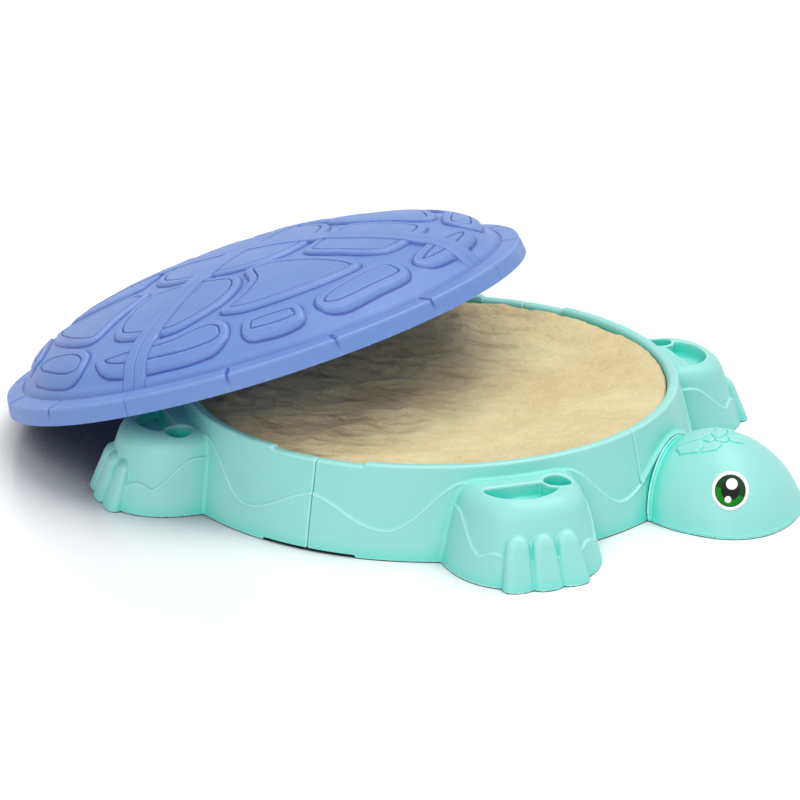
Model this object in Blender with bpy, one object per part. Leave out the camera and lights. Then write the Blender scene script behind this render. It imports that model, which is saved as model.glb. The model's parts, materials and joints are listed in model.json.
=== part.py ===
"""Turtle-shaped sandbox with a domed cover.

The tub is a ring of hollow double-skin mouldings: four wall quadrants, each with a foot that holds
a tray and a cup pocket, and a short front panel that carries the head. A black ground sheet closes
the bottom and a sand fill lies on it. The cover is four shell quadrants joined under raised seam
bands. It leans off the tail end of the tub and swings back over it about a pole below the ground.

Axes: +X to the head, +Z up, origin on the ground at the tub's centre. Lengths in metres.
"""
import math

import bmesh
import bpy
from mathutils import Matrix, Vector

GAP = 0.0003
SKIN = 0.003

# Tub wall
RIM_R = 0.450
RIM_Z = 0.155
BASE_R = 0.4874
RIM_FLAT_R = 0.4375
LIP_R = 0.4285
LIP_Z = 0.1495
INNER_BASE_R = 0.4240
INNER_BASE_Z = 0.0016
NOTCH_HALF_DEG = 11.2
NOTCH_DROP = 0.005
SLOT_HALF_DEG = 10.3
SLOT_Z = 0.0045
PANEL_HALF_DEG = 14.3
END_GAP_DEG = 0.02
WALL_STEP_DEG = 6.5
PANEL_STEPS = 6

# Feet
FOOT_AXIS_DEG = 46.25
FOOT_TOP_Z = 0.132
FOOT_ROOT_U = 0.4635
FOOT_POWER = 2.4
FOOT_LEVELS = (0.0, 0.060, 0.1125, 0.1265, FOOT_TOP_Z)
FOOT_REACH = (0.6165, 0.5960, 0.5780, 0.5690, 0.5560)
FOOT_HALF_W = (0.1386, 0.1212, 0.1060, 0.1030, 0.0980)
FOOT_COLUMNS_DEG = (-16.9, -15.4, -13.8, -11.8, -8.8, -4.6, 0.0,
                    4.6, 8.8, 11.8, 13.8, 15.4, 16.9)
TOE_PITCH_DEG = 4.9
TOE_TOP_Z = 0.088
TOE_HALF_W = 0.0255

# Foot pockets, in the foot's own frame: u away from the tub's centre, v sideways
TRAY_BACK_U = 0.487
TRAY_DEPTH_U = 0.058
TRAY_MID_V = -0.006
TRAY_HALF_V = 0.062
TRAY_DEPTH_Z = 0.025
CUP_U = 0.488
CUP_V = 0.059
CUP_R = 0.0243
CUP_DEPTH_Z = 0.040
POCKET_WALL = 0.003

# Head
HEAD_X = 0.5776
HEAD_FRONT = 0.1244
HEAD_BACK = 0.1618
HEAD_HALF_W = 0.1451
HEAD_TOP_Z = 0.1343
HEAD_PLAN_POWER = 2.3
HEAD_RISE_POWER = 1.7
HEAD_LEAN = -0.175
COLLAR = 0.006
EYE_X, EYE_Y, EYE_Z = 0.6106, 0.1025, 0.0733
EYE_R = 0.0324
STICKER_GAP = 0.0006
STICKER = 0.0006

# Ground sheet and sand
SHEET_R = 0.4785
SHEET_T = 0.001
HEM_Z = 0.013
SAND_BASE_R = 0.4228
SAND_TOP_R = 0.4266
SAND_EDGE_Z = 0.130
SAND_CROWN_Z = 0.136
SAND_SEGMENTS = 48

# Cover, in its own frame: origin at the centre of its bottom edge
LID_R = 0.4994
LID_R_STATIONS = (1.0, 0.99, 0.918, 0.895, 0.86, 0.80, 0.70, 0.55, 0.38, 0.20)
LID_Z_STATIONS = (0.0, 0.0290, 0.0338, 0.0440, 0.0710, 0.0925, 0.1105, 0.1290, 0.1443, 0.1525)
LID_APEX_Z = 0.1547
LID_APEX_R = 0.0006
LID_COLUMNS = 10
BAND_HALF_W = 0.0225
BAND_RISE = 0.002
BAND_END_R = 0.4615
LID_TILT_DEG = 19.0
LID_REST = (-0.3320, 0.0, 0.1882)
LID_CLOSED = (0.0, 0.0, 0.139)

# Seam ribs and the push rivets through them
RIB_IN = 0.0006
RIB_OUT = 0.0036
RIVET_SHANK_R = 0.0025
RIVET_HEAD_R = 0.0055
RIVET_HEAD_T = 0.0018
RIVET_HOLE_R = 0.0029
RIVET_SEGMENTS = 8
WALL_RIVETS = ((0.4470, 0.050), (0.4410, 0.108))
LID_RIVETS_R = (0.170, 0.360)
HEAD_RIVET_DEG = 7.0
HEAD_RIVET_Z = 0.060


def clear_scene():
    for ob in list(bpy.data.objects):
        bpy.data.objects.remove(ob, do_unlink=True)


def material(name, colour, roughness, metallic=0.0):
    mat = bpy.data.materials.new(name)
    mat.use_nodes = True
    bsdf = mat.node_tree.nodes["Principled BSDF"]
    bsdf.inputs["Base Color"].default_value = (*colour, 1.0)
    bsdf.inputs["Roughness"].default_value = roughness
    bsdf.inputs["Metallic"].default_value = metallic
    return mat


def solid(name, verts, faces, mat=None, place=None, smooth=False):
    """A mesh object whose faces are made to point out."""
    mesh = bpy.data.meshes.new(name)
    mesh.from_pydata([tuple(v) for v in verts], [], faces)
    bm = bmesh.new()
    bm.from_mesh(mesh)
    bmesh.ops.recalc_face_normals(bm, faces=bm.faces)
    if bm.calc_volume(signed=True) < 0:
        bmesh.ops.reverse_faces(bm, faces=bm.faces)
    bm.to_mesh(mesh)
    bm.free()
    for poly in mesh.polygons:
        poly.use_smooth = smooth
    ob = bpy.data.objects.new(name, mesh)
    bpy.context.scene.collection.objects.link(ob)
    if mat is not None:
        mesh.materials.append(mat)
    if place is not None:
        ob.matrix_world = place
    return ob


def tool(ob):
    ob.hide_render = True
    ob.display_type = "WIRE"
    return ob


def boolean(ob, cutter, operation):
    mod = ob.modifiers.new(cutter.name, "BOOLEAN")
    mod.operation = operation
    mod.solver = "EXACT"
    mod.object = tool(cutter)


def sweep(sections):
    """Closed body through sections that all have the same number of points, capped at both ends."""
    count = len(sections[0])
    verts = [p for section in sections for p in section]
    faces = []
    for i in range(len(sections) - 1):
        for k in range(count):
            a, b = i * count + k, i * count + (k + 1) % count
            faces.append((a, b, b + count, a + count))
    faces.append(tuple(range(count)))
    faces.append(tuple(range(len(verts) - count, len(verts))))
    return verts, faces


def spin(profile, segments, centre=(0.0, 0.0)):
    """Closed body of revolution about Z, from an open (radius, z) profile capped on the axis."""
    verts, faces = [], []
    count = len(profile)
    for i in range(segments):
        a = 2.0 * math.pi * i / segments
        verts += [(centre[0] + r * math.cos(a), centre[1] + r * math.sin(a), z) for r, z in profile]
    for i in range(segments):
        j = (i + 1) % segments
        for k in range(count - 1):
            faces.append((i * count + k, j * count + k, j * count + k + 1, i * count + k + 1))
    faces.append(tuple(i * count for i in range(segments)))
    faces.append(tuple(i * count + count - 1 for i in range(segments)))
    return verts, faces


def prism(outline, z_low, z_high):
    low = [(x, y, z_low) for x, y in outline]
    high = [(x, y, z_high) for x, y in outline]
    return sweep([low, high])


def polar(r, deg, z):
    a = math.radians(deg)
    return (r * math.cos(a), r * math.sin(a), z)


def interp(x, xs, ys):
    for i in range(len(xs) - 1):
        if x <= xs[i + 1]:
            return ys[i] + (ys[i + 1] - ys[i]) * (x - xs[i]) / (xs[i + 1] - xs[i])
    return ys[-1]


# ---------------------------------------------------------------- tub wall and feet

def wall_radius(z):
    return BASE_R + (RIM_R - BASE_R) * z / RIM_Z


def foot_radius(offset_deg, z, level_z, inset):
    """How far out the foot reaches along one direction at one height; 0 where it doesn't."""
    reach = interp(level_z, FOOT_LEVELS, FOOT_REACH) - inset
    half = interp(level_z, FOOT_LEVELS, FOOT_HALF_W) - inset
    c, s = math.cos(math.radians(offset_deg)), abs(math.sin(math.radians(offset_deg)))

    def outside(r):
        u = max(r * c - FOOT_ROOT_U, 0.0) / (reach - FOOT_ROOT_U)
        return u ** FOOT_POWER + (r * s / half) ** FOOT_POWER > 1.0

    low, high = wall_radius(z) - inset, 0.70
    if outside(low):
        return 0.0
    for _ in range(40):
        mid = 0.5 * (low + high)
        if outside(mid):
            high = mid
        else:
            low = mid
    return low


def side_radius(z, foot_deg, inset, level_z=None):
    wall = wall_radius(z) - inset
    if foot_deg is None:
        return wall
    return max(wall, foot_radius(foot_deg, z, z if level_z is None else level_z, inset))


def at_joint(deg, half_deg):
    return any(abs((deg - joint + 180.0) % 360.0 - 180.0) < half_deg for joint in (-90.0, 90.0, 180.0))


def wall_section(deg, foot_deg):
    """One closed upright section through the hollow wall, and through the foot where there is one."""
    drop = NOTCH_DROP if at_joint(deg, NOTCH_HALF_DEG) else 0.0
    lift = SLOT_Z if at_joint(deg, SLOT_HALF_DEG) else 0.0
    outer = [(side_radius(max(z, lift), foot_deg, 0.0), max(z, lift)) for z in FOOT_LEVELS]
    rim = [(wall_radius(0.1335), 0.1335),
           (RIM_R + 0.0003, RIM_Z - 0.0022 - drop), (RIM_R - 0.0022, RIM_Z - drop),
           (RIM_FLAT_R, RIM_Z - drop), (LIP_R, LIP_Z - drop), (INNER_BASE_R, INNER_BASE_Z)]
    under = [(INNER_BASE_R + SKIN, INNER_BASE_Z), (LIP_R + SKIN, LIP_Z - 0.0022 - drop),
             (RIM_FLAT_R + 0.001, RIM_Z - SKIN - drop), (RIM_R - SKIN - 0.0002, RIM_Z - SKIN - drop),
             (wall_radius(0.1300) - SKIN, 0.1300)]
    inner = []
    for z in reversed(FOOT_LEVELS):
        height = max(z - SKIN, lift) if z > 0.12 else max(z, lift)
        inner.append((side_radius(height, foot_deg, SKIN, z), height))
    return [polar(r, deg, z) for r, z in outer + rim + under + inner]


def sector_columns(start, stop, foot_centre):
    """Directions of the wall sections, closer together at the foot and at each step in the rim."""
    columns = {start + END_GAP_DEG, stop - END_GAP_DEG}
    marks = [start, stop]
    if foot_centre is not None:
        columns |= {foot_centre + off for off in FOOT_COLUMNS_DEG}
        marks += [foot_centre + FOOT_COLUMNS_DEG[0], foot_centre + FOOT_COLUMNS_DEG[-1]]
    for joint in (-90.0, 90.0, 180.0):
        for half in (SLOT_HALF_DEG, NOTCH_HALF_DEG):
            for side in (-1, 1):
                edge = joint + side * half
                if start < edge < stop:
                    columns |= {edge - 0.1, edge + 0.1}
                    marks.append(edge)
    if foot_centre is None:
        columns |= set(panel_columns()[1:-1])
        return sorted(columns)
    marks.sort()
    for a, b in zip(marks[:-1], marks[1:]):
        if a >= foot_centre - 17.0 and b <= foot_centre + 17.0:
            continue
        steps = max(1, math.ceil((b - a) / WALL_STEP_DEG))
        columns |= {a + (b - a) * k / steps for k in range(1, steps)}
    return sorted(columns)


def rib_outline(drop):
    """The (radius, z) outline of an end rib, buried half-way into the skins around it."""
    mid = 0.5 * SKIN
    return [(INNER_BASE_R + mid, 0.018), (LIP_R + mid, LIP_Z - mid - drop),
            (RIM_FLAT_R, RIM_Z - mid - drop), (RIM_R - 0.003, RIM_Z - mid - drop),
            (wall_radius(0.10) - mid, 0.10), (wall_radius(0.018) - mid, 0.018)]


def end_rib(name, deg, side):
    """A plate just inside a sector's end face; side is the sense in which the sector lies."""
    frame = Matrix.Rotation(math.radians(deg), 4, "Z")
    drop = NOTCH_DROP if at_joint(deg, NOTCH_HALF_DEG) else 0.0
    outline = rib_outline(drop)
    sections = [[frame @ Vector((r, side * t, z)) for r, z in outline] for t in (RIB_IN, RIB_OUT)]
    return solid(name, *sweep(sections))


def rivet_place(deg, r, z):
    """Frame whose Z lies across a wall joint."""
    turn = Matrix.Rotation(math.radians(deg), 4, "Z")
    return turn @ Matrix.Translation((r, 0.0, z)) @ Matrix.Rotation(math.radians(-90.0), 4, "X")


def hole(name, place, radius=RIVET_HOLE_R, reach=0.009):
    return solid(name, *spin([(radius, -reach), (radius, reach)], RIVET_SEGMENTS), place=place)


def foot_frame(foot_centre):
    return Matrix.Rotation(math.radians(foot_centre), 4, "Z")


def tray_outline(grow):
    """D-shaped tray outline, cut back round the cup pocket beside it."""
    points = []
    keep_off = CUP_R + 2.0 * POCKET_WALL - grow
    for k in range(11):
        a = -0.5 * math.pi + math.pi * k / 10
        u = TRAY_BACK_U - grow + (TRAY_DEPTH_U + 2.0 * grow) * max(math.cos(a), 0.0) ** 0.8
        v = TRAY_MID_V + (TRAY_HALF_V + grow) * math.copysign(abs(math.sin(a)) ** 0.9, math.sin(a))
        du, dv = u - CUP_U, v - CUP_V
        dist = math.hypot(du, dv)
        if dist < keep_off:
            u, v = CUP_U + du * keep_off / dist, CUP_V + dv * keep_off / dist
        points.append((u, v))
    corner = CUP_V - keep_off
    points.append((TRAY_BACK_U - grow, corner))
    return points


def circle(u, v, r, segments=12):
    return [(u + r * math.cos(2 * math.pi * k / segments), v + r * math.sin(2 * math.pi * k / segments))
            for k in range(segments)]


def foot_pockets(ob, name, foot_centre):
    frame = foot_frame(foot_centre)
    top = FOOT_TOP_Z
    pockets = (("tray", tray_outline(POCKET_WALL), tray_outline(0.0), TRAY_DEPTH_Z),
               ("cup", circle(CUP_U, CUP_V, CUP_R + POCKET_WALL), circle(CUP_U, CUP_V, CUP_R), CUP_DEPTH_Z))
    for label, wide, _, depth in pockets:
        body = solid(name + "_" + label + "_wall", *prism(wide, top - depth - POCKET_WALL, top - 0.0015),
                     place=frame)
        boolean(ob, body, "UNION")
    for label, _, narrow, depth in pockets:
        cut = solid(name + "_" + label + "_cut", *prism(narrow, top - depth, top + 0.010), place=frame)
        boolean(ob, cut, "DIFFERENCE")


def toe(name, offset_deg, frame):
    """A rounded toe that leans with the front of the foot."""
    c, s = math.cos(math.radians(offset_deg)), math.sin(math.radians(offset_deg))
    sections = []
    for z, width, lift in ((0.0005, 1.0, 0.0), (0.062, 0.78, 0.0), (0.079, 0.52, -0.002),
                           (0.0855, 0.22, -0.005)):
        r = foot_radius(offset_deg, z, z, 0.0) - 0.004 + lift
        ring = []
        for k in range(8):
            a = 2.0 * math.pi * k / 8
            out = 0.0175 * math.cos(a) * (0.5 + 0.5 * width)
            side = TOE_HALF_W * width * math.sin(a)
            ring.append(frame @ Vector(((r + out) * c - side * s, (r + out) * s + side * c, z)))
        sections.append(ring)
    return solid(name, *sweep(sections))


def wall_sector(name, start, stop, foot_centre, mat):
    sections = []
    for deg in sector_columns(start, stop, foot_centre):
        off = None if foot_centre is None else deg - foot_centre
        foot_deg = off if off is not None and abs(off) < 17.0 else None
        sections.append(wall_section(deg, foot_deg))
    ob = solid(name, *sweep(sections), mat)
    for label, deg, side in (("a", start, 1), ("b", stop, -1)):
        boolean(ob, end_rib(name + "_rib_" + label, deg, side), "UNION")
        for k, (r, z) in enumerate(WALL_RIVETS):
            boolean(ob, hole("%s_hole_%s%d" % (name, label, k), rivet_place(deg, r, z)), "DIFFERENCE")
    if foot_centre is not None:
        frame = foot_frame(foot_centre)
        for k in (-1, 0, 1):
            boolean(ob, toe("%s_toe_%d" % (name, k + 1), k * TOE_PITCH_DEG, frame), "UNION")
        foot_pockets(ob, name, foot_centre)
    return ob


def rivet(name, place, mat, grip=RIB_OUT):
    """Push rivet of one piece: head, shank and the collar that snaps out behind the ribs."""
    near, far = grip + GAP, grip + GAP + RIVET_HEAD_T
    profile = [(RIVET_HEAD_R - 0.0008, far), (RIVET_HEAD_R, far - 0.0008), (RIVET_HEAD_R, near),
               (RIVET_SHANK_R, near), (RIVET_SHANK_R, -near), (RIVET_SHANK_R + 0.0013, -near),
               (RIVET_SHANK_R - 0.0007, -near - 0.0035)]
    return solid(name, *spin(profile, RIVET_SEGMENTS), mat, place, smooth=True)


# ---------------------------------------------------------------- head

def head_level(ahead, y, z, grow):
    """1 on the head's surface; ahead is measured from the middle of the head, which leans back."""
    length = (HEAD_FRONT if ahead > 0.0 else HEAD_BACK) + grow
    plan = (abs(ahead) / length) ** HEAD_PLAN_POWER + (abs(y) / (HEAD_HALF_W + grow)) ** HEAD_PLAN_POWER
    rise = (abs(z) / (HEAD_TOP_Z + grow)) ** HEAD_RISE_POWER
    return (plan ** (HEAD_RISE_POWER / HEAD_PLAN_POWER) + rise) ** (1.0 / HEAD_RISE_POWER)


def head_dome(name, grow, floor, turns=24, rings=6):
    """Closed half dome; floor is how far its flat bottom lies below the ground plane."""
    sections = []
    for i in range(rings + 1):
        lat = 0.5 * math.pi * i / rings
        lat = min(lat, 0.5 * math.pi - 0.03)
        ring = []
        for k in range(turns):
            a = 2.0 * math.pi * k / turns
            d = Vector((math.cos(a) * math.cos(lat), math.sin(a) * math.cos(lat), math.sin(lat)))
            p = d / head_level(d.x, d.y, d.z, grow)
            ring.append((HEAD_X + HEAD_LEAN * p.z + p.x, p.y, p.z))
        sections.append(ring)
    if floor > 0.0:
        sections.insert(0, [(x, y, -floor) for x, y, _ in sections[0]])
    return solid(name, *sweep(sections))


def panel_columns(extra=0):
    step = 2.0 * PANEL_HALF_DEG / PANEL_STEPS
    return [-PANEL_HALF_DEG + step * k for k in range(-extra, PANEL_STEPS + 1 + extra)]


def wall_wedge(name, near, far, low, high, extra=0):
    """Solid that follows the front wall's facets between two distances from them."""
    sections = []
    for deg in panel_columns(extra):
        bottom, top = wall_radius(low), wall_radius(high)
        sections.append([polar(bottom + near, deg, low), polar(bottom + far, deg, low),
                         polar(top + far, deg, high), polar(top + near, deg, high)])
    return solid(name, *sweep(sections))


def head_rivet_place(deg):
    slope = math.atan((BASE_R - RIM_R) / RIM_Z)
    r = wall_radius(HEAD_RIVET_Z)
    turn = Matrix.Rotation(math.radians(deg), 4, "Z")
    return (turn @ Matrix.Translation((r + 0.0002, 0.0, HEAD_RIVET_Z))
            @ Matrix.Rotation(0.5 * math.pi - slope, 4, "Y"))


def head_shell(mat):
    head = head_dome("head_shell", 0.0, 0.0)
    head.data.materials.append(mat)
    for poly in head.data.polygons:
        poly.use_smooth = True
    collar = wall_wedge("head_collar", -0.002, 0.0036, 0.001, 0.150)
    boolean(collar, head_dome("head_collar_limit", COLLAR, 0.0), "INTERSECT")
    boolean(head, collar, "UNION")
    hollow = head_dome("head_hollow", -SKIN, 0.008)
    boolean(hollow, wall_wedge("head_back_plate", -0.20, 0.0036, -0.02, 0.20, 3),
            "DIFFERENCE")
    boolean(head, hollow, "DIFFERENCE")
    boolean(head, wall_wedge("head_seat", -0.25, 0.0004, -0.03, 0.25, 3), "DIFFERENCE")
    for k, deg in enumerate((-HEAD_RIVET_DEG, HEAD_RIVET_DEG)):
        boolean(head, hole("head_rivet_hole_%d" % k, head_rivet_place(deg)), "DIFFERENCE")
    return head


def head_surface(origin, direction, grow):
    """Where a line from outside first meets the head, grown outward by the given amount."""
    near, far = 0.0, 0.12
    for _ in range(50):
        mid = 0.5 * (near + far)
        p = origin - direction * mid
        if head_level(p.x - HEAD_X - HEAD_LEAN * p.z, p.y, p.z, grow) > 1.0:
            near = mid
        else:
            far = mid
    return origin - direction * near


def eye_sticker(name, side, mat, turns=16, rings=2):
    """A thin round sticker that follows the head's surface."""
    out = Vector((0.35, side * 1.0, 0.30)).normalized()
    flat = Vector((0.0, 0.0, 1.0)).cross(out).normalized()
    rise = out.cross(flat)
    start = Vector((EYE_X, side * EYE_Y, EYE_Z)) + out * 0.04
    verts, faces = [], []
    for grow in (STICKER_GAP, STICKER_GAP + STICKER):
        verts.append(head_surface(start, out, grow))
        for i in range(1, rings + 1):
            for k in range(turns):
                a = 2.0 * math.pi * k / turns
                r = EYE_R * i / rings
                p = start + flat * (r * math.cos(a)) + rise * (r * math.sin(a))
                verts.append(head_surface(p, out, grow))
    layer = 1 + rings * turns
    for base in (0, layer):
        for k in range(turns):
            j = (k + 1) % turns
            faces.append((base, base + 1 + k, base + 1 + j))
            for i in range(rings - 1):
                a, b = base + 1 + i * turns, base + 1 + (i + 1) * turns
                faces.append((a + k, b + k, b + j, a + j))
    edge = 1 + (rings - 1) * turns
    for k in range(turns):
        j = (k + 1) % turns
        faces.append((edge + k, edge + j, layer + edge + j, layer + edge + k))
    return solid(name, verts, faces, mat, smooth=True)


# ---------------------------------------------------------------- ground sheet and sand

def ground_sheet(mat):
    profile = [(SHEET_R, 0.0), (SHEET_R, HEM_Z), (SHEET_R - SHEET_T, HEM_Z),
               (SHEET_R - SHEET_T, SHEET_T)]
    return solid("ground_sheet", *spin(profile, SAND_SEGMENTS), mat)


def sand_fill(mat):
    base = GAP + SHEET_T
    profile = [(SAND_BASE_R, base), (SAND_TOP_R, SAND_EDGE_Z), (0.5 * SAND_TOP_R, SAND_CROWN_Z - 0.001),
               (0.02, SAND_CROWN_Z)]
    return solid("sand_fill", *spin(profile, SAND_SEGMENTS), mat, smooth=True)


# ---------------------------------------------------------------- cover

def lid_height(r):
    """Height of the cover's outer surface above its bottom edge."""
    xs = [LID_APEX_R] + [LID_R * s for s in reversed(LID_R_STATIONS)]
    zs = [LID_APEX_Z] + list(reversed(LID_Z_STATIONS))
    return interp(r, xs, zs)


def lid_section(deg, shift):
    """One section of the shell; shift moves an end section clear of the seam."""
    t = SKIN
    outer = [(LID_R * s, z) for s, z in zip(LID_R_STATIONS, LID_Z_STATIONS)] + [(LID_APEX_R, LID_APEX_Z)]
    inner = [(LID_APEX_R, LID_APEX_Z - t)]
    for s, z in reversed(list(zip(LID_R_STATIONS[2:], LID_Z_STATIONS[2:]))):
        steep = 0.0020 if 0.79 < s < 0.91 else 0.0
        inner.append((LID_R * s - steep, z - t))
    inner += [(LID_R * LID_R_STATIONS[1] - t, LID_Z_STATIONS[1] - t), (LID_R - t, 0.0)]
    return [Vector(polar(r, deg, z)) + shift for r, z in outer + inner]


def lid_strip(name, frame, along_y, inner_w, outer_w, rise, drop, start, stop, place):
    """A strip that follows the dome beside one seam."""
    count = 9
    sections = []
    for k in range(count + 1):
        x = start + (stop - start) * k / count
        z = lid_height(x)
        box = [(inner_w, z - drop), (outer_w, z - drop), (outer_w, z + rise), (inner_w, z + rise)]
        points = [(w, x, h) if along_y else (x, w, h) for w, h in box]
        sections.append([frame @ Vector(p) for p in points])
    return solid(name, *sweep(sections), place=place)


def lid_rivet_frame(along_deg, r):
    turn = Matrix.Rotation(math.radians(along_deg), 4, "Z")
    z = lid_height(r) - 0.0100
    return turn @ Matrix.Translation((r, 0.0, z)) @ Matrix.Rotation(math.radians(-90.0), 4, "X")


def lid_quadrant(name, start, mat, place):
    frame = Matrix.Rotation(math.radians(start), 4, "Z")
    half_gap = 0.5 * GAP
    sections = []
    for k in range(LID_COLUMNS + 1):
        deg = 90.0 * k / LID_COLUMNS
        shift = Vector((0.0, 0.0, 0.0))
        if k == 0:
            shift = Vector((0.0, half_gap, 0.0))
        elif k == LID_COLUMNS:
            shift = Vector((half_gap, 0.0, 0.0))
        sections.append([frame @ p for p in lid_section(deg, shift)])
    ob = solid(name, *sweep(sections), mat, place)
    for label, along_y in (("a", False), ("b", True)):
        start_r, drop = (0.0200, 0.0019) if along_y else (0.0040, 0.0022)
        band = lid_strip("%s_band_%s" % (name, label), frame, along_y, 0.0004, BAND_HALF_W,
                         BAND_RISE, drop, start_r, BAND_END_R, place)
        boolean(ob, band, "UNION")
        rib = lid_strip("%s_rib_%s" % (name, label), frame, along_y, RIB_IN, RIB_OUT,
                        -0.0015, 0.016, 0.050, 0.430, place)
        boolean(ob, rib, "UNION")
        for k, r in enumerate(LID_RIVETS_R):
            along = start + (90.0 if along_y else 0.0)
            cut = hole("%s_hole_%s%d" % (name, label, k), place @ lid_rivet_frame(along, r))
            boolean(ob, cut, "DIFFERENCE")
    return ob


def lid_place():
    return (Matrix.Translation(LID_REST)
            @ Matrix.Rotation(math.radians(-LID_TILT_DEG), 4, "Y"))


def lid_pole():
    """The point in the XZ plane about which the leaning cover turns to lie closed."""
    t = math.radians(LID_TILT_DEG)
    c, s = math.cos(t), math.sin(t)
    bx = LID_CLOSED[0] - (c * LID_REST[0] + s * LID_REST[2])
    bz = LID_CLOSED[2] - (-s * LID_REST[0] + c * LID_REST[2])
    det = (1.0 - c) ** 2 + s * s
    return Vector((((1.0 - c) * bx + s * bz) / det, 0.0, ((1.0 - c) * bz - s * bx) / det))


# ---------------------------------------------------------------- assembly

def build_tub(mats):
    body = mats["body"]
    sectors = (("wall_front_right", -90.0, -PANEL_HALF_DEG, -FOOT_AXIS_DEG),
               ("wall_front_left", PANEL_HALF_DEG, 90.0, FOOT_AXIS_DEG),
               ("wall_rear_left", 90.0, 180.0, 180.0 - FOOT_AXIS_DEG),
               ("wall_rear_right", -180.0, -90.0, FOOT_AXIS_DEG - 180.0))
    for name, start, stop, foot in sectors:
        wall_sector(name, start, stop, foot, body)
    panel = wall_sector("front_panel", -PANEL_HALF_DEG, PANEL_HALF_DEG, None, body)
    for k, deg in enumerate((-HEAD_RIVET_DEG, HEAD_RIVET_DEG)):
        boolean(panel, hole("panel_rivet_hole_%d" % k, head_rivet_place(deg)), "DIFFERENCE")
    head_shell(body)
    eye_sticker("eye_sticker_right", -1, mats["sticker"])
    eye_sticker("eye_sticker_left", 1, mats["sticker"])
    ground_sheet(mats["sheet"])
    sand_fill(mats["sand"])
    joints = (("right", -90.0), ("left", 90.0), ("tail", 180.0),
              ("panel_right", -PANEL_HALF_DEG), ("panel_left", PANEL_HALF_DEG))
    for label, deg in joints:
        for k, (r, z) in enumerate(WALL_RIVETS):
            end = ("low", "high")[k]
            rivet("rivet_%s_%s" % (label, end), rivet_place(deg, r, z), mats["rivet"])
    rivet("rivet_head_right", head_rivet_place(-HEAD_RIVET_DEG), mats["rivet"])
    rivet("rivet_head_left", head_rivet_place(HEAD_RIVET_DEG), mats["rivet"])


def build_cover(mats):
    place = lid_place()
    pole = bpy.data.objects.new("cover_pole", None)
    pole.location = lid_pole()
    bpy.context.scene.collection.objects.link(pole)
    bpy.context.view_layer.update()
    pieces = []
    quadrants = (("cover_head_left", 0.0), ("cover_tail_left", 90.0),
                 ("cover_tail_right", 180.0), ("cover_head_right", 270.0))
    for name, start in quadrants:
        pieces.append(lid_quadrant(name, start, mats["cover"], place))
    for label, along in (("head", 0.0), ("left", 90.0), ("tail", 180.0), ("right", 270.0)):
        for k, r in enumerate(LID_RIVETS_R):
            end = ("inner", "outer")[k]
            frame = place @ lid_rivet_frame(along, r)
            pieces.append(rivet("rivet_cover_%s_%s" % (label, end), frame, mats["cover"]))
    for ob in pieces:
        world = ob.matrix_world.copy()
        ob.parent = pole
        ob.matrix_world = world


def main():
    clear_scene()
    mats = {
        "body": material("mint_plastic", (0.36, 0.80, 0.74), 0.35),
        "cover": material("blue_plastic", (0.12, 0.24, 0.72), 0.38),
        "rivet": material("mint_rivet_plastic", (0.30, 0.72, 0.66), 0.40),
        "sticker": material("eye_print", (0.92, 0.93, 0.92), 0.25),
        "sheet": material("black_woven_sheet", (0.02, 0.02, 0.02), 0.85),
        "sand": material("play_sand", (0.70, 0.55, 0.36), 0.90),
    }
    build_tub(mats)
    build_cover(mats)


main()
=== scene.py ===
"""Final looks of the turtle-shaped sandbox with its domed cover.

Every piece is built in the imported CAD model's frame: metres, +X to the head, +Z up, origin on the
ground at the tub's centre. The tub and the head are smooth surfaces taken from fields (negative
inside), the cover and the sand are height surfaces, and each piece stands for its CAD node.
"""
import json
import math

import bpy
import numpy as np
from mathutils import Matrix, Vector


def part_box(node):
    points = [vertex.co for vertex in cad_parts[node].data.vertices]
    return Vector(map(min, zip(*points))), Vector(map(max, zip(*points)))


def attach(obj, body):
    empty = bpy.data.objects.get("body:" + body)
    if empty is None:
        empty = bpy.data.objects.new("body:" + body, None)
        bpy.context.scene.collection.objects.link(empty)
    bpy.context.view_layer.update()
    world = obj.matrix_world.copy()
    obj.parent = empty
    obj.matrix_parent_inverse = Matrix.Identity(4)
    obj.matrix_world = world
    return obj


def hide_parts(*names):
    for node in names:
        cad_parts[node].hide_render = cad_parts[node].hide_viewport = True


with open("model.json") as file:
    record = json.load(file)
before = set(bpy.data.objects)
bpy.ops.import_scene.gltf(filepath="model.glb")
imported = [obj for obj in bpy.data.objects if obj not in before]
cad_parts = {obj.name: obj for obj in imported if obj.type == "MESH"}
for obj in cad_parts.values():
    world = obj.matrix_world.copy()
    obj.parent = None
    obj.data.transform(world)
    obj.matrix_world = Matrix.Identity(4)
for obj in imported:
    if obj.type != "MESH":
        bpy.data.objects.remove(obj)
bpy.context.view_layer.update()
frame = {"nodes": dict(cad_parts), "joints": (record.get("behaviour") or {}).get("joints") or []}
COARSE = 1.0

# Tub wall
RIM_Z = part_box("front_panel")[1].z
BASE_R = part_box("front_panel")[1].x
RIM_R = 0.45
RIM_FLAT_R = 0.4375
LIP_R, LIP_Z = 0.4285, 0.1495
INNER_BASE_R = 0.424
WALL_COS = 0.972
RIM_ROUND, LIP_ROUND = 0.0045, 0.004
PANEL_HALF_DEG = 14.3
NOTCH_HALF_DEG, NOTCH_SIDE_DEG, NOTCH_DROP = 11.2, 0.5, 0.005
SLOT_HALF_DEG, SLOT_SIDE_DEG, SLOT_LIFT = 10.3, 0.3, 0.0045
JOINT_DEG = (-90.0, 90.0, 180.0)
RIM_LINE_DEG, RIM_LINE_HALF_DEG, RIM_LINE_DEPTH = 10.8, 0.14, 0.0012
END_GAP_DEG = 0.03
PANEL_BEVEL, SEAM_BEVEL = 0.005, 0.002
WALL_STEP, WALL_STEP_DEG = 0.0019, 0.24

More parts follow.
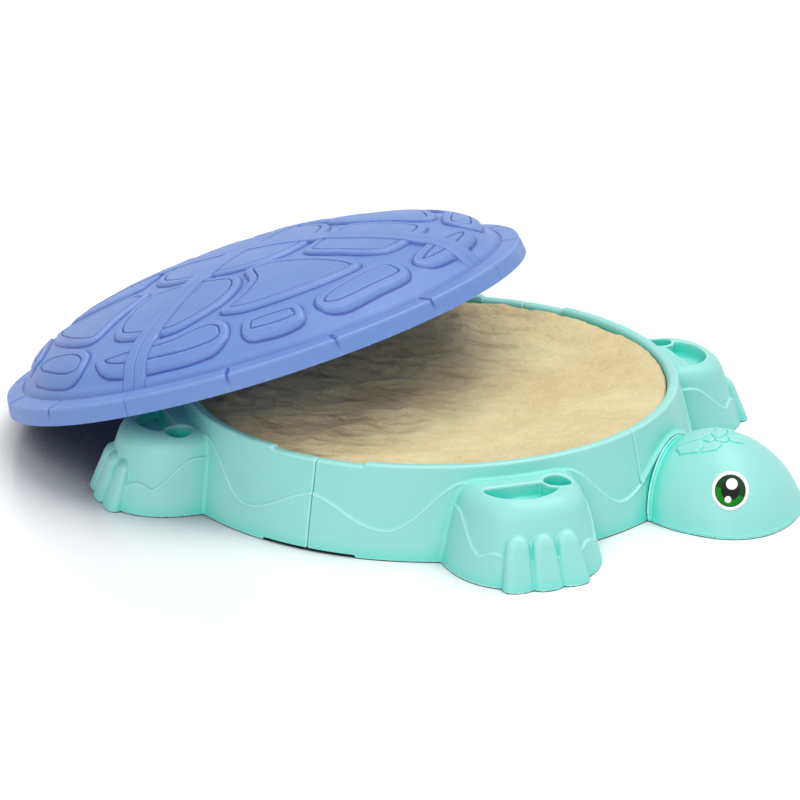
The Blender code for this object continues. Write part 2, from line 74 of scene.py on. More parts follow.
# The low relief on walls and feet: everything below a wavy line stands a little proud
RELIEF, RELIEF_EDGE = 0.0028, 0.0026
BEAD_SHARE, BEAD_AT, BEAD_HALF = 0.3, 0.7, 0.8
WAVE_SEAM = ((11.0, 0.13), (28.0, 0.0504), (45.0, 0.0968))
WAVE_PANEL = ((11.0, 0.13), (25.65, 0.0505), (34.0, 0.066))
RIDGE_LOW, RIDGE_HIGH = 0.066, 0.107
RIDGE_RISE, RIDGE_HALF, RIDGE_LEAN = 0.0042, 0.0031, 0.8
FIELD_RISE, FIELD_EDGE = 0.001, 0.004

# Feet, in the foot's own frame: u away from the tub's centre, v sideways
FOOT_DEG = 46.25
FOOT_TOP = 0.132
FOOT_ROOT_U = 0.4635
FOOT_POWER = 2.4
FOOT_REACH, FOOT_REACH_LEAN = 0.615, 0.342
FOOT_HALF, FOOT_HALF_LEAN = 0.1382, 0.29
FOOT_CUP_HALF, FOOT_CUP_HALF_LEAN = 0.132, 0.245
FOOT_SHOULDER = 0.03
FOOT_COS = 0.95
FOOT_INNER_R, FOOT_INNER_Z = 0.432, 0.15
FOOT_BLEND, TOE_BLEND = 0.005, 0.0026
WAVE_WALL_Z, WAVE_FALL, WAVE_HUMP = 0.097, 0.0515, 0.009
WAVE_WALL_TURN, WAVE_NOTCH_TURN, WAVE_HUMP_SPAN = 105.0, 62.0, 26.0
TOE_PITCH_DEG = 4.55
TOE_GATHER = 0.055
TOE_TOP = 0.0825
TOE_SHIFT = 0.004
TOE_BASE_R, TOE_TIP_R = 0.0268, 0.0194
TOE_PROUD, TOE_ROOT = 0.0135, 0.004
TOE_TAPER, TOE_POWER, TOE_COS = 1.3, 2.5, 0.85
TRAY_U, TRAY_V = 0.487, -0.008
TRAY_REACH, TRAY_HALF, TRAY_DEPTH = 0.058, 0.066, 0.025
CUP_U, CUP_V, CUP_R, CUP_DEPTH = 0.488, 0.058, 0.0232, 0.04
CUP_WALL = 0.0052
POCKET_DRAFT, POCKET_ROUND, POCKET_LIP = 0.07, 0.004, 0.0045
RING_PITCH, RING_RISE, RING_REACH, RING_FADE = 0.0078, 0.0007, 0.03, 0.006

# Head
HEAD_X = 0.5776
HEAD_FRONT = 0.1212
HEAD_BACK = 0.1618
HEAD_HALF = 0.1451
HEAD_TOP = 0.1343
HEAD_PLAN_POWER, HEAD_RISE_POWER = 2.3, 1.7
HEAD_LEAN = -0.175
HEAD_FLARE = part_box("head_shell")[1].x - HEAD_X - HEAD_FRONT
FLARE_HIGH = 0.012
PLINTH_RISE, PLINTH_HIGH, PLINTH_EDGE = 0.0008, 0.006, 0.0015
COLLAR, COLLAR_T = 0.005, 0.0034
HEAD_GAP = 0.0012
HEAD_STEP = 0.0014
CROWN_FROM, CROWN_TO, CROWN_HALF, CROWN_LOW = 0.48, 0.602, 0.066, 0.08
SCALE_RISE, SCALE_EDGE = 0.0026, 0.0013
SCALE_FOOT, SCALE_CREASE_HALF = 0.0002, 0.0017
EYE_AT, EYE_R = (0.6106, 0.1025, 0.0728), 0.0318
EYE_FACING = (0.35, 1.0, 0.3)
STICKER_PROUD, STICKER_TUCK = 0.0009, 0.0004

# Sand. Its surface lies just under its CAD solid's top, and a bank at the far wall rises above it.
SAND_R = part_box("sand_fill")[1].x
SAND_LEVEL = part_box("sand_fill")[1].z
SAND_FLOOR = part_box("sand_fill")[0].z
SAND_BELOW, SAND_RIM_RISE, SAND_TAPER = 0.0035, 0.003, 0.992
BANK_HIGH = 0.01

# Cover, in its own frame: origin at the centre of its bottom edge, a hair inside its CAD solid.
# Names that end in IN, OUT, END or FADE, and the profile's first values, are shares of its radius.
LID_HAIR = 0.00001
LID_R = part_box("cover_head_left")[1].y - LID_HAIR
LID_T = 0.003
SEAM_GAP = 0.00015
LID_CLOSED_Z = 0.139
LID_PROFILE = ((0.0, 0.1547), (0.2, 0.1525), (0.38, 0.1443), (0.55, 0.129), (0.7, 0.1105),
               (0.8, 0.0927), (0.86, 0.075), (0.9, 0.0485), (0.92, 0.0338), (1.0, -0.025))
FLANGE_IN, FLANGE_OUT = 0.918, 0.99
FLANGE_IN_Z, FLANGE_OUT_Z = 0.0338, 0.029
FLANGE_ROUND, SKIRT_ROUND = 0.003, 0.006
BAND_HALF, BAND_SIDE, BAND_RISE, BAND_END = 0.0225, 0.0022, 0.0018, 0.924
SEAM_HALF, SEAM_DEPTH = 0.0016, 0.0013
PLATE_RISE, PLATE_SLOPE = 0.0064, 0.0056
PLATES_END, PLATES_FADE = 0.912, 0.03
GROOVE_AT, GROOVE_HALF, GROOVE_DEPTH = 0.018, 0.0024, 0.0032
CREASE_HALF = 0.0024
STRIP_IN, STRIP_OUT, STRIP_RISE = 0.926, 0.998, 0.0016
NOTCH_PITCH_DEG, NOTCH_CLEAR_DEG = 22.5, 11.0
NOTCH_WIDE, NOTCH_DEEP = 0.0046, 0.0036
RIB_FROM, RIB_TO, RIB_SPANS = 0.05, 0.43, 13
RIB_T, RIB_OFF, RIB_DEEP = 0.003, 0.0006, 0.0135

# Stage
WORLD_LIGHT = 0.33
FLOOR_Z = -0.0008

# Shared by the surface makers
LEAST_SLOPE = 4.0
SETTLE_PASSES, SETTLE_STEP = 3, 0.00015
CORNER_CUTS, CORNER_SHARE = 2, 0.22
OUTLINE_MARGIN = 0.004
ON_SEAM = 1e-6

CORNERS = [(i, j, k) for i in (0, 1) for j in (0, 1) for k in (0, 1)]
EDGES = [(a, b) for a in range(8) for b in range(a + 1, 8)
         if sum(abs(p - q) for p, q in zip(CORNERS[a], CORNERS[b])) == 1]


# ---- small maths

def unit(x):
    """Held between 0 and 1."""
    return np.clip(x, 0.0, 1.0)


def ramp(x):
    """From 0 to 1 as x does, level at both ends."""
    x = unit(x)
    return x * x * (3.0 - 2.0 * x)


def smooth_max(a, b, width):
    """The greater of two values, rounded over where they differ by less than width."""
    near = np.clip(width - np.abs(a - b), 0.0, None) / width
    return np.maximum(a, b) + near * near * width * 0.25


def smooth_min(a, b, width):
    return -smooth_max(-a, -b, width)


def eased(x, knots):
    """Through the knots, level at each one."""
    xs, ys = zip(*knots)
    x = np.clip(x, xs[0], xs[-1])
    out = np.full(np.shape(x), ys[-1])
    for (x0, y0), (x1, y1) in zip(knots[:-1], knots[1:]):
        t = (x - x0) / (x1 - x0)
        part = y0 + (y1 - y0) * 0.5 * (1.0 - np.cos(np.pi * unit(t)))
        out = np.where((x >= x0) & (x <= x1), part, out)
    return out


def lattice_noise(x, y, seed):
    """Smooth random values between -1 and 1 over a unit lattice."""
    table = np.random.default_rng(seed).uniform(-1.0, 1.0, (64, 64))
    ix, iy = np.floor(x).astype(int), np.floor(y).astype(int)
    fx, fy = ramp(x - ix), ramp(y - iy)
    a, b = table[ix % 64, iy % 64], table[(ix + 1) % 64, iy % 64]
    c, d = table[ix % 64, (iy + 1) % 64], table[(ix + 1) % 64, (iy + 1) % 64]
    return (a * (1 - fx) + b * fx) * (1 - fy) + (c * (1 - fx) + d * fx) * fy


def rounded(corners):
    """A closed outline with its corners cut round."""
    points = np.array(corners, float)
    keep, cut = 1.0 - CORNER_SHARE, CORNER_SHARE
    for _ in range(CORNER_CUTS):
        following = np.roll(points, -1, axis=0)
        points = np.stack([keep * points + cut * following, cut * points + keep * following], 1)
        points = points.reshape(-1, 2)
    return points


def depth_inside(x, y, outline):
    """Distance to a closed outline, positive inside it."""
    best = np.full(x.shape, 1e9)
    inside = np.zeros(x.shape, bool)
    for (ax, ay), (bx, by) in zip(outline, np.roll(outline, -1, axis=0)):
        dx, dy = bx - ax, by - ay
        t = unit(((x - ax) * dx + (y - ay) * dy) / (dx * dx + dy * dy))
        best = np.minimum(best, (x - ax - t * dx) ** 2 + (y - ay - t * dy) ** 2)
        if dy != 0.0:
            crosses = ((ay > y) != (by > y)) & (x < ax + dx * (y - ay) / dy)
            inside ^= crosses
    return np.where(inside, 1.0, -1.0) * np.sqrt(best)


# ---- meshes

def linked(name, data):
    """A new object in the scene."""
    ob = bpy.data.objects.new(name, data)
    bpy.context.scene.collection.objects.link(ob)
    return ob


def merged(points, faces):
    """Points that fall together become one."""
    _, first, same = np.unique(np.round(points, 6), axis=0, return_index=True, return_inverse=True)
    return points[first], same.reshape(-1)[faces]


def mesh_object(name, points, faces, mat, node, body, crease=None):
    """A smooth mesh as one piece; crease is above 0 at the points in or beside a narrow groove, where the
    plastic paints shade.
    """
    mesh = bpy.data.meshes.new(name)
    mesh.from_pydata(np.asarray(points, float).tolist(), [], faces)
    mesh.materials.append(mat)
    mesh.polygons.foreach_set("use_smooth", [True] * len(mesh.polygons))
    mesh.update()
    if crease is not None:
        mark = mesh.attributes.new("crease", "FLOAT", "POINT")
        mark.data.foreach_set("value", crease.astype(np.float32))
    ob = linked(name, mesh)
    if node:
        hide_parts(node)
    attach(ob, body)
    return ob


def surface_net(values, place):
    """Quads on the zero surface of a grid of values, one point for each crossed cell.
    place turns fractional grid coordinates into metres."""
    sizes = [n - 1 for n in values.shape]
    inside = values < 0.0
    count = np.zeros(sizes, np.int8)
    for i, j, k in CORNERS:
        count += inside[i:i + sizes[0], j:j + sizes[1], k:k + sizes[2]]
    cells = np.argwhere((count > 0) & (count < 8))
    corner = [values[cells[:, 0] + i, cells[:, 1] + j, cells[:, 2] + k] for i, j, k in CORNERS]
    total, hits = np.zeros((len(cells), 3)), np.zeros(len(cells))
    for a, b in EDGES:
        crossed = (corner[a] < 0.0) != (corner[b] < 0.0)
        span = np.where(crossed, corner[a] - corner[b], 1.0)
        t = np.where(crossed, corner[a] / span, 0.0)
        start, end = np.array(CORNERS[a]), np.array(CORNERS[b])
        total += np.where(crossed[:, None], start + t[:, None] * (end - start), 0.0)
        hits += crossed
    number = np.full(sizes, -1, np.int32)
    number[tuple(cells.T)] = np.arange(len(cells))
    quads = []
    for axis, (p, q) in enumerate(((1, 2), (2, 0), (0, 1))):
        low = np.take(inside, range(0, inside.shape[axis] - 1), axis)
        high = np.take(inside, range(1, inside.shape[axis]), axis)
        edge = np.argwhere(low != high)
        ok = (edge[:, p] > 0) & (edge[:, p] < sizes[p]) & (edge[:, q] > 0) & (edge[:, q] < sizes[q])
        edge = edge[ok]
        ring = []
        for dp, dq in ((1, 1), (0, 1), (0, 0), (1, 0)):
            cell = edge.copy()
            cell[:, p] -= dp
            cell[:, q] -= dq
            ring.append(number[tuple(cell.T)])
        ring = np.stack(ring, 1)
        outward = low[tuple(edge.T)]
        quads.append(np.where(outward[:, None], ring, ring[:, ::-1]))
    return place(cells + total / hits[:, None]), np.concatenate(quads).tolist()


def settle(points, field, reach):
    """Slide points onto the zero surface of a field, never further than reach."""
    start = points.copy()
    for _ in range(SETTLE_PASSES):
        value = field(*points.T)
        shifts = []
        for axis in range(3):
            ahead, behind = points.copy(), points.copy()
            ahead[:, axis] += SETTLE_STEP
            behind[:, axis] -= SETTLE_STEP
            shifts.append((field(*ahead.T) - field(*behind.T)) / (2.0 * SETTLE_STEP))
        slope = np.stack(shifts, 1)
        steep = np.clip((slope ** 2).sum(1), 0.05, None)
        points = points - slope * (value / steep)[:, None]
        moved = points - start
        length = np.clip(np.linalg.norm(moved, axis=1), 1e-9, None)
        points = start + moved * np.minimum(1.0, reach / length)[:, None]
    return points


def grid_axis(low, high, step):
    """Evenly spaced values from low to high, about a step apart."""
    count = int(math.ceil((high - low) / (step * COARSE))) + 1
    return np.linspace(low, high, count)


def along(axis_values, index):
    return np.interp(index, np.arange(len(axis_values)), axis_values)


# ---- tub

def wave_on_wall(deg, foot_deg):
    """Height of the wavy line on a wall quadrant, by the angle from its foot to the panel or a seam."""
    off = np.abs(deg - foot_deg)
    to_panel = (deg - foot_deg) * foot_deg < 0.0 if abs(foot_deg) < 90.0 else np.zeros(off.shape, bool)
    return np.where(to_panel, eased(off, WAVE_PANEL), eased(off, WAVE_SEAM))


def panel_relief(deg, z):
    """A rounded ridge that arches over the head, and the slightly proud field inside it."""
    share = unit(1.0 - np.abs(deg) / PANEL_HALF_DEG)
    inside = RIDGE_LOW + (RIDGE_HIGH - RIDGE_LOW) * np.sin(0.5 * np.pi * share) - z
    lean = 1.0 / (1.0 + RIDGE_LEAN * (1.0 - share))
    ridge = RIDGE_RISE * np.exp(-(inside * lean / RIDGE_HALF) ** 2)
    return ridge + FIELD_RISE * ramp(inside / FIELD_EDGE + 0.5)


def wave_on_foot(u, v):
    """Height of the wavy line round a foot: high at the wall, a notch, then a small hump."""
    turn = np.degrees(np.arctan2(np.abs(v), u - 0.5))
    fall = unit((WAVE_WALL_TURN - turn) / (WAVE_WALL_TURN - WAVE_NOTCH_TURN))
    bend = 0.85 * math.pi
    high = WAVE_WALL_Z - WAVE_FALL * (1.0 - np.cos(bend * fall)) / (1.0 - math.cos(bend))
    share = unit((WAVE_NOTCH_TURN - turn) / WAVE_HUMP_SPAN)
    hump = WAVE_WALL_Z - WAVE_FALL + WAVE_HUMP * np.sin(np.pi * share)
    return np.where(turn > WAVE_NOTCH_TURN, high, hump)


def relief(line_z, z):
    """How far the surface stands proud: RELIEF below the line, with a soft bead along it."""
    t = (line_z - z) / RELIEF_EDGE
    return RELIEF * ramp(t + 0.5) + BEAD_SHARE * RELIEF * np.exp(-((t - BEAD_AT) / BEAD_HALF) ** 2)


def from_joint(deg):
    """Angle to the nearest of the notched wall joints."""
    return np.minimum.reduce([np.abs((deg - joint + 180.0) % 360.0 - 180.0) for joint in JOINT_DEG])


def wall_radius(z):
    """Radius of the wall's outer face, which leans in towards the rim."""
    return BASE_R + (RIM_R - BASE_R) * z / RIM_Z


def wall_ring(r, deg, z, foot_deg):
    """The wall without feet: a leaning ring with its rim, notches and relief."""
    if foot_deg is None:
        proud = panel_relief(deg, z)
    else:
        proud = relief(wave_on_wall(deg, foot_deg), z)
    outer = (r - wall_radius(z) + RELIEF - proud) * WALL_COS
    drop = NOTCH_DROP * ramp((NOTCH_HALF_DEG - from_joint(deg)) / NOTCH_SIDE_DEG + 0.5)
    crown = np.clip((RIM_FLAT_R - r) / (RIM_FLAT_R - LIP_R), 0.0, 1.5)
    groove = RIM_LINE_DEPTH * np.exp(-((np.abs(deg) - RIM_LINE_DEG) / RIM_LINE_HALF_DEG) ** 2)
    top = z - (RIM_Z - drop - groove - (RIM_Z - LIP_Z) * crown ** 2)
    inner = INNER_BASE_R + (LIP_R - INNER_BASE_R) * z / LIP_Z - r
    ring = smooth_max(outer, top, RIM_ROUND)
    return smooth_max(ring, inner, LIP_ROUND)


def foot_body(u, v, z):
    """A foot without toes: rounded in plan, with sides that lean in and a soft shoulder."""
    reach = FOOT_REACH - FOOT_REACH_LEAN * z
    half = np.where(v > 0.0, FOOT_CUP_HALF - FOOT_CUP_HALF_LEAN * z, FOOT_HALF - FOOT_HALF_LEAN * z)
    a = np.clip(u - FOOT_ROOT_U, 0.0, None) / (reach - FOOT_ROOT_U)
    b = np.abs(v) / half
    total = np.clip(a ** FOOT_POWER + b ** FOOT_POWER, 1e-4, None)
    level = total ** (1.0 / FOOT_POWER) - 1.0
    scale = total ** (1.0 / FOOT_POWER - 1.0)
    slope = np.hypot(scale * a ** (FOOT_POWER - 1.0) / (reach - FOOT_ROOT_U),
                     scale * b ** (FOOT_POWER - 1.0) / half)
    side = level / np.clip(slope, LEAST_SLOPE, None) * FOOT_COS
    side -= relief(wave_on_foot(u, v), z) - RELIEF
    return smooth_max(side, z - FOOT_TOP, FOOT_SHOULDER)


def toe_field(u, v, z, off_deg):
    """A rounded toe that leans with the front of the foot."""
    a = math.radians(off_deg)
    c, s = math.cos(a), math.sin(a)
    out, side = u * c + v * s, v * c - u * s + TOE_GATHER * np.sign(off_deg) * z + TOE_SHIFT
    share = (1.0 - (FOOT_REACH * abs(s) / FOOT_HALF) ** FOOT_POWER) ** (1.0 / FOOT_POWER)
    front = (FOOT_ROOT_U + (FOOT_REACH - FOOT_ROOT_U) * share) / c - FOOT_REACH_LEAN * z
    tip_z = TOE_TOP - TOE_TIP_R
    t = unit(z / tip_z)
    radius = TOE_BASE_R + (TOE_TIP_R - TOE_BASE_R) * t ** TOE_TAPER
    deep = (out - front + TOE_ROOT) * (TOE_BASE_R / (TOE_PROUD + TOE_ROOT))
    above = np.clip(z - tip_z, 0.0, None)
    across = (np.abs(deep) ** TOE_POWER + np.abs(side) ** TOE_POWER) ** (1.0 / TOE_POWER)
    return (np.sqrt(across ** 2 + above ** 2) - radius) * TOE_COS


def pocket_field(u, v, z):
    """The tray and the cup pocket, negative inside them."""
    a, b = (u - TRAY_U) / TRAY_REACH, (v - TRAY_V) / TRAY_HALF
    bow = (np.sqrt(np.clip(a, 0.0, None) ** 2 + b ** 2) - 1.0) * 0.055
    cup = np.hypot(u - CUP_U, v - CUP_V) - CUP_R
    draft = POCKET_DRAFT * (FOOT_TOP - z)
    tray = smooth_max(bow, TRAY_U - u, 0.006)
    tray = smooth_max(tray, CUP_WALL - cup, 0.005) + draft
    ripple = np.hypot(u - TRAY_U - 0.45 * TRAY_REACH, v - TRAY_V)
    rings = RING_RISE * np.cos(2.0 * np.pi * ripple / RING_PITCH) * ramp((RING_REACH - ripple) / RING_FADE)
    tray = smooth_max(tray, FOOT_TOP - TRAY_DEPTH + rings - z, POCKET_ROUND)
    cup = smooth_max(cup + draft, FOOT_TOP - CUP_DEPTH - z, POCKET_ROUND)
    return np.minimum(tray, cup)


def sector_field(r, deg, z, start, stop, foot_deg, bevel):
    """One piece of the tub between two angles, with the foot where it has one."""
    body = wall_ring(r, deg, z, foot_deg)
    if foot_deg is not None:
        turn = np.radians(deg - foot_deg)
        u, v = r * np.cos(turn), r * np.sin(turn)
        forward = -np.sign(foot_deg) * v
        foot = foot_body(u, forward, z)
        for k in (-1, 0, 1):
            foot = smooth_min(foot, toe_field(u, forward, z, k * TOE_PITCH_DEG), TOE_BLEND)
        foot = smooth_max(foot, -pocket_field(u, v, z), POCKET_LIP)
        hollow = np.maximum(FOOT_INNER_R - r, z - FOOT_INNER_Z)
        body = smooth_min(body, np.maximum(foot, hollow), FOOT_BLEND)
        keep_open = np.maximum(pocket_field(u, v, z), RIM_R + 0.001 - r)
        body = np.maximum(body, -keep_open)
    lift = SLOT_LIFT * ramp((SLOT_HALF_DEG - from_joint(deg)) / SLOT_SIDE_DEG + 0.5)
    lift = np.where(r > LIP_R + 0.02, lift, 0.0)
    body = np.maximum(body, lift - z)
    ends = np.maximum(start + END_GAP_DEG - deg, deg - stop + END_GAP_DEG) * np.radians(1.0) * r
    return smooth_max(body, ends, bevel)


def tub_sector(name, start, stop, foot_deg, mat):
    """One wall quadrant or the front panel, from start to stop in degrees, as a smooth shell."""
    far = FOOT_REACH + 0.018 if foot_deg is not None else BASE_R + 0.01
    r_axis = grid_axis(INNER_BASE_R - 0.006, far, WALL_STEP)
    deg_axis = grid_axis(start - 0.25, stop + 0.25, WALL_STEP_DEG)
    z_axis = grid_axis(-0.004, RIM_Z + 0.004, WALL_STEP)
    beside_panel = min(abs(abs(start) - PANEL_HALF_DEG), abs(abs(stop) - PANEL_HALF_DEG)) < 1.0
    bevel = PANEL_BEVEL if beside_panel else SEAM_BEVEL

    def field(x, y, z):
        middle = math.radians(0.5 * (start + stop))
        deg = np.degrees(np.arctan2(y * math.cos(middle) - x * math.sin(middle),
                                    x * math.cos(middle) + y * math.sin(middle)) + middle)
        return sector_field(np.hypot(x, y), deg, z, start, stop, foot_deg, bevel)

    values = np.empty((len(r_axis), len(deg_axis), len(z_axis)), np.float32)
    for k, z in enumerate(z_axis):
        values[:, :, k] = sector_field(r_axis[:, None], deg_axis[None, :], z, start, stop, foot_deg, bevel)

    def place(index):
        r, a = along(r_axis, index[:, 0]), np.radians(along(deg_axis, index[:, 1]))
        z = along(z_axis, index[:, 2])
        return np.stack([r * np.cos(a), r * np.sin(a), z], 1)

    points, quads = surface_net(values, place)
    points = settle(points, field, 0.0012)
    points[:, 2] = np.clip(points[:, 2], 0.0, None)
    return mesh_object(name + "_shell", points, quads, mat, name, "tub")


# ---- head

def head_level(x, y, z, grow=0.0):
    """Distance to the head's plain surface, grown by some metres. The dome leans back."""
    ahead = x - HEAD_X - HEAD_LEAN * z
    length = np.where(ahead > 0.0, HEAD_FRONT, HEAD_BACK) + grow
    wide, tall = HEAD_HALF + grow, HEAD_TOP + grow
    a, b, c = np.abs(ahead) / length, np.abs(y) / wide, np.abs(z) / tall
    p, q = HEAD_PLAN_POWER, HEAD_RISE_POWER
    plan = np.clip(a ** p + b ** p, 1e-6, None)
    total = np.clip(plan ** (q / p) + c ** q, 1e-6, None)
    level = total ** (1.0 / q)
    pull = total ** (1.0 / q - 1.0)
    by_plan = pull * plan ** (q / p - 1.0)
    slope_x = by_plan * a ** (p - 1.0) / length
    slope_y = by_plan * b ** (p - 1.0) / wide
    slope_z = pull * c ** (q - 1.0) / tall + np.sign(ahead) * slope_x * -HEAD_LEAN
    slope = np.sqrt(slope_x ** 2 + slope_y ** 2 + slope_z ** 2)
    return (level - 1.0) / np.clip(slope, LEAST_SLOPE, None)


def scale_outlines():
    """Plan outlines of the low scales on the crown; those that reach the centre line cross it."""
    return [
        [(0.488, -0.01), (0.489, 0.036), (0.5255, 0.0285), (0.54, 0.0112), (0.5395, -0.01)],
        [(0.49, 0.043), (0.503, 0.0605), (0.534, 0.0585), (0.5395, 0.045), (0.5325, 0.0325),
         (0.526, 0.0308), (0.4905, 0.0385)],
        [(0.5415, 0.0577), (0.5645, 0.0482), (0.569, 0.0335), (0.564, 0.0295), (0.556, 0.0292),
         (0.548, 0.035), (0.5415, 0.044)],
        [(0.5335, 0.03), (0.5472, 0.0336), (0.554, 0.0278), (0.5485, 0.0192), (0.5412, 0.014)],
        [(0.556, 0.027), (0.56, 0.0284), (0.573, 0.0247), (0.5756, 0.0166), (0.569, 0.0068),
         (0.5655, 0.0082), (0.5605, 0.0192), (0.5502, 0.0192)],
        [(0.5417, -0.01), (0.5417, 0.0115), (0.5482, 0.0176), (0.5594, 0.0176), (0.5638, 0.007),
         (0.5638, -0.01)],
        [(0.5665, -0.01), (0.5665, 0.004), (0.577, 0.015), (0.586, 0.0125), (0.596, 0.002),
         (0.596, -0.01)],
    ]


def on_crown(x, y):
    """Where the scales can be."""
    return (x > CROWN_FROM) & (x < CROWN_TO) & (y < CROWN_HALF)


def scale_relief(x, y):
    """How far the scales stand proud of the head, in metres."""
    x, y = np.broadcast_arrays(x, np.abs(y))
    proud = np.zeros(x.shape)
    near = on_crown(x, y)
    for outline in scale_outlines():
        depth = depth_inside(x[near], y[near], outline)
        proud[near] = np.maximum(proud[near], SCALE_RISE * ramp(depth / SCALE_EDGE))
    return proud


def scale_crease(points):
    """1 along the foot of each scale's edge."""
    x, y = points[:, 0], np.abs(points[:, 1])
    crease = np.zeros(len(points))
    near = on_crown(x, y) & (points[:, 2] > CROWN_LOW)
    for outline in scale_outlines():
        depth = depth_inside(x[near], y[near], outline)
        foot = unit(1.0 - np.abs(depth + SCALE_FOOT) / SCALE_CREASE_HALF)
        crease[near] = np.maximum(crease[near], foot)
    return crease


def head_field(x, y, z, proud):
    """The head in front of the wall, flared at its foot, with a thin collar against the wall."""
    head = head_level(x, y, z) + SCALE_RISE - proud
    plinth = PLINTH_RISE * ramp((PLINTH_HIGH - z) / PLINTH_EDGE + 0.5)
    head -= HEAD_FLARE * np.exp(-(z / FLARE_HIGH) ** 2) + plinth
    wall = (np.hypot(x, y) - wall_radius(z)) * WALL_COS - HEAD_GAP
    collar = smooth_max(head_level(x, y, z, COLLAR), wall - COLLAR_T, 0.004)
    head = smooth_min(head, collar, 0.004)
    return np.maximum(smooth_max(head, -wall, 0.0008), -z)


def build_head(mat):
    """The head's dome, from a grid that reaches a little past its CAD box."""
    low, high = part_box("head_shell")
    axes = [grid_axis(low[0] - 0.004, high[0] + 0.004, HEAD_STEP),
            grid_axis(low[1] - 0.009, high[1] + 0.009, HEAD_STEP),
            grid_axis(-0.003, high[2] + 0.004, HEAD_STEP)]
    x, y = axes[0][:, None], axes[1][None, :]
    proud = scale_relief(x, y)
    values = np.empty([len(a) for a in axes], np.float32)
    for k, z in enumerate(axes[2]):
        values[:, :, k] = head_field(x, y, z, proud)

    def place(index):
        return np.stack([along(axis, index[:, i]) for i, axis in enumerate(axes)], 1)

    points, quads = surface_net(values, place)
    points = settle(points, lambda px, py, pz: head_field(px, py, pz, scale_relief(px, py)), 0.001)
    points[:, 2] = np.clip(points[:, 2], 0.0, None)
    crease = scale_crease(points)
    mesh_object("head_dome", points, quads, mat, "head_shell", "tub", crease)


def build_eye(side, mat):
    """A thin round sticker that follows the head, with its own flat coordinates for the print.
    Its points start in front of the head and are dropped onto it by halving."""
    node = "eye_sticker_right" if side < 0 else "eye_sticker_left"
    out = Vector((EYE_FACING[0], side * EYE_FACING[1], EYE_FACING[2])).normalized()
    flat = Vector((0.0, 0.0, 1.0)).cross(out).normalized() * -side
    rise = Vector((0.0, 0.0, 1.0)) - out * out.z
    rise.normalize()
    centre = Vector((EYE_AT[0], side * EYE_AT[1], EYE_AT[2]))
    turns, rings = 72, 14
    flat_spots = [(0.0, 0.0)]
    for i in range(1, rings + 1):
        r = min(i / (rings - 1), 1.0)
        flat_spots += [(r * math.cos(2 * math.pi * k / turns), r * math.sin(2 * math.pi * k / turns))
                       for k in range(turns)]
    spots = np.array([centre + out * 0.06 + (flat * a + rise * b) * EYE_R for a, b in flat_spots])
    toward = np.array(out)
    lift = np.full(len(spots), STICKER_PROUD)
    lift[-turns:] = -STICKER_TUCK
    near, far = np.zeros(len(spots)), np.full(len(spots), 0.16)
    for _ in range(40):
        mid = 0.5 * (near + far)
        p = spots - toward * mid[:, None]
        outside = head_level(p[:, 0], p[:, 1], p[:, 2]) + SCALE_RISE > lift
        near, far = np.where(outside, mid, near), np.where(outside, far, mid)
    points = spots - toward * near[:, None]
    faces = [(0, 1 + k, 1 + (k + 1) % turns) for k in range(turns)]
    for i in range(rings - 1):
        a, b = 1 + i * turns, 1 + (i + 1) * turns
        faces += [(a + k, b + k, b + (k + 1) % turns, a + (k + 1) % turns) for k in range(turns)]
    if side > 0:
        faces = [face[::-1] for face in faces]
    ob = mesh_object(node + "_print", points, faces, mat, node, "tub")
    layer = ob.data.uv_layers.new(name="Print")
    for loop in ob.data.loops:
        a, b = flat_spots[loop.vertex_index]
        layer.data[loop.index].uv = (0.5 + 0.5 * a, 0.5 + 0.5 * b)


# ---- quarter-disc grid

INNER, BULGE, DISC = 0.55, 0.12, 0.9


def quarter_turn(k):
    """Turns the first quarter onto quarter k."""
    c, s = ((1, 0), (0, 1), (-1, 0), (0, -1))[k]
    return np.array([[c, -s], [s, c]])


def quarter_disc(cells, rows, rim):
    """Points and quads on a quarter of the unit disc. Grid lines run along both axes near them,
    and the rows beyond DISC are circles at the radii in rim."""
    even = np.linspace(0.0, 1.0, cells + 1)
    line = np.concatenate([[0.0, 0.3 / cells], even[1:]])

    def inner(a, b):
        pull = 1.0 - BULGE * a * a * b * b
        return INNER * a * pull, INNER * b * pull

    def outer(b):
        s = INNER / DISC * b + (math.sqrt(0.5) - INNER / DISC) * b ** 3
        return np.sqrt(1.0 - s * s), s

    a, b = np.meshgrid(line, line, indexing="ij")
    patches = [np.stack(inner(a, b), -1)]
    start = np.stack(inner(np.ones_like(line), line), -1)
    end = np.stack(outer(line), -1)
    t = np.linspace(0.0, 1.0, rows + 1)[:, None, None]
    fan = np.concatenate([start * (1 - t) + DISC * end * t, np.array(rim)[:, None, None] * end])
    patches += [fan, fan[:, ::-1, ::-1]]
    points, quads, base = [], [], 0
    for patch in patches:
        m, n = patch.shape[:2]
        index = base + np.arange(m * n).reshape(m, n)
        quads.append(np.stack([index[:-1, :-1], index[1:, :-1], index[1:, 1:], index[:-1, 1:]], -1))
        points.append(patch.reshape(-1, 2))
        base += m * n
    return merged(np.concatenate(points), np.concatenate([q.reshape(-1, 4) for q in quads]))


# ---- cover

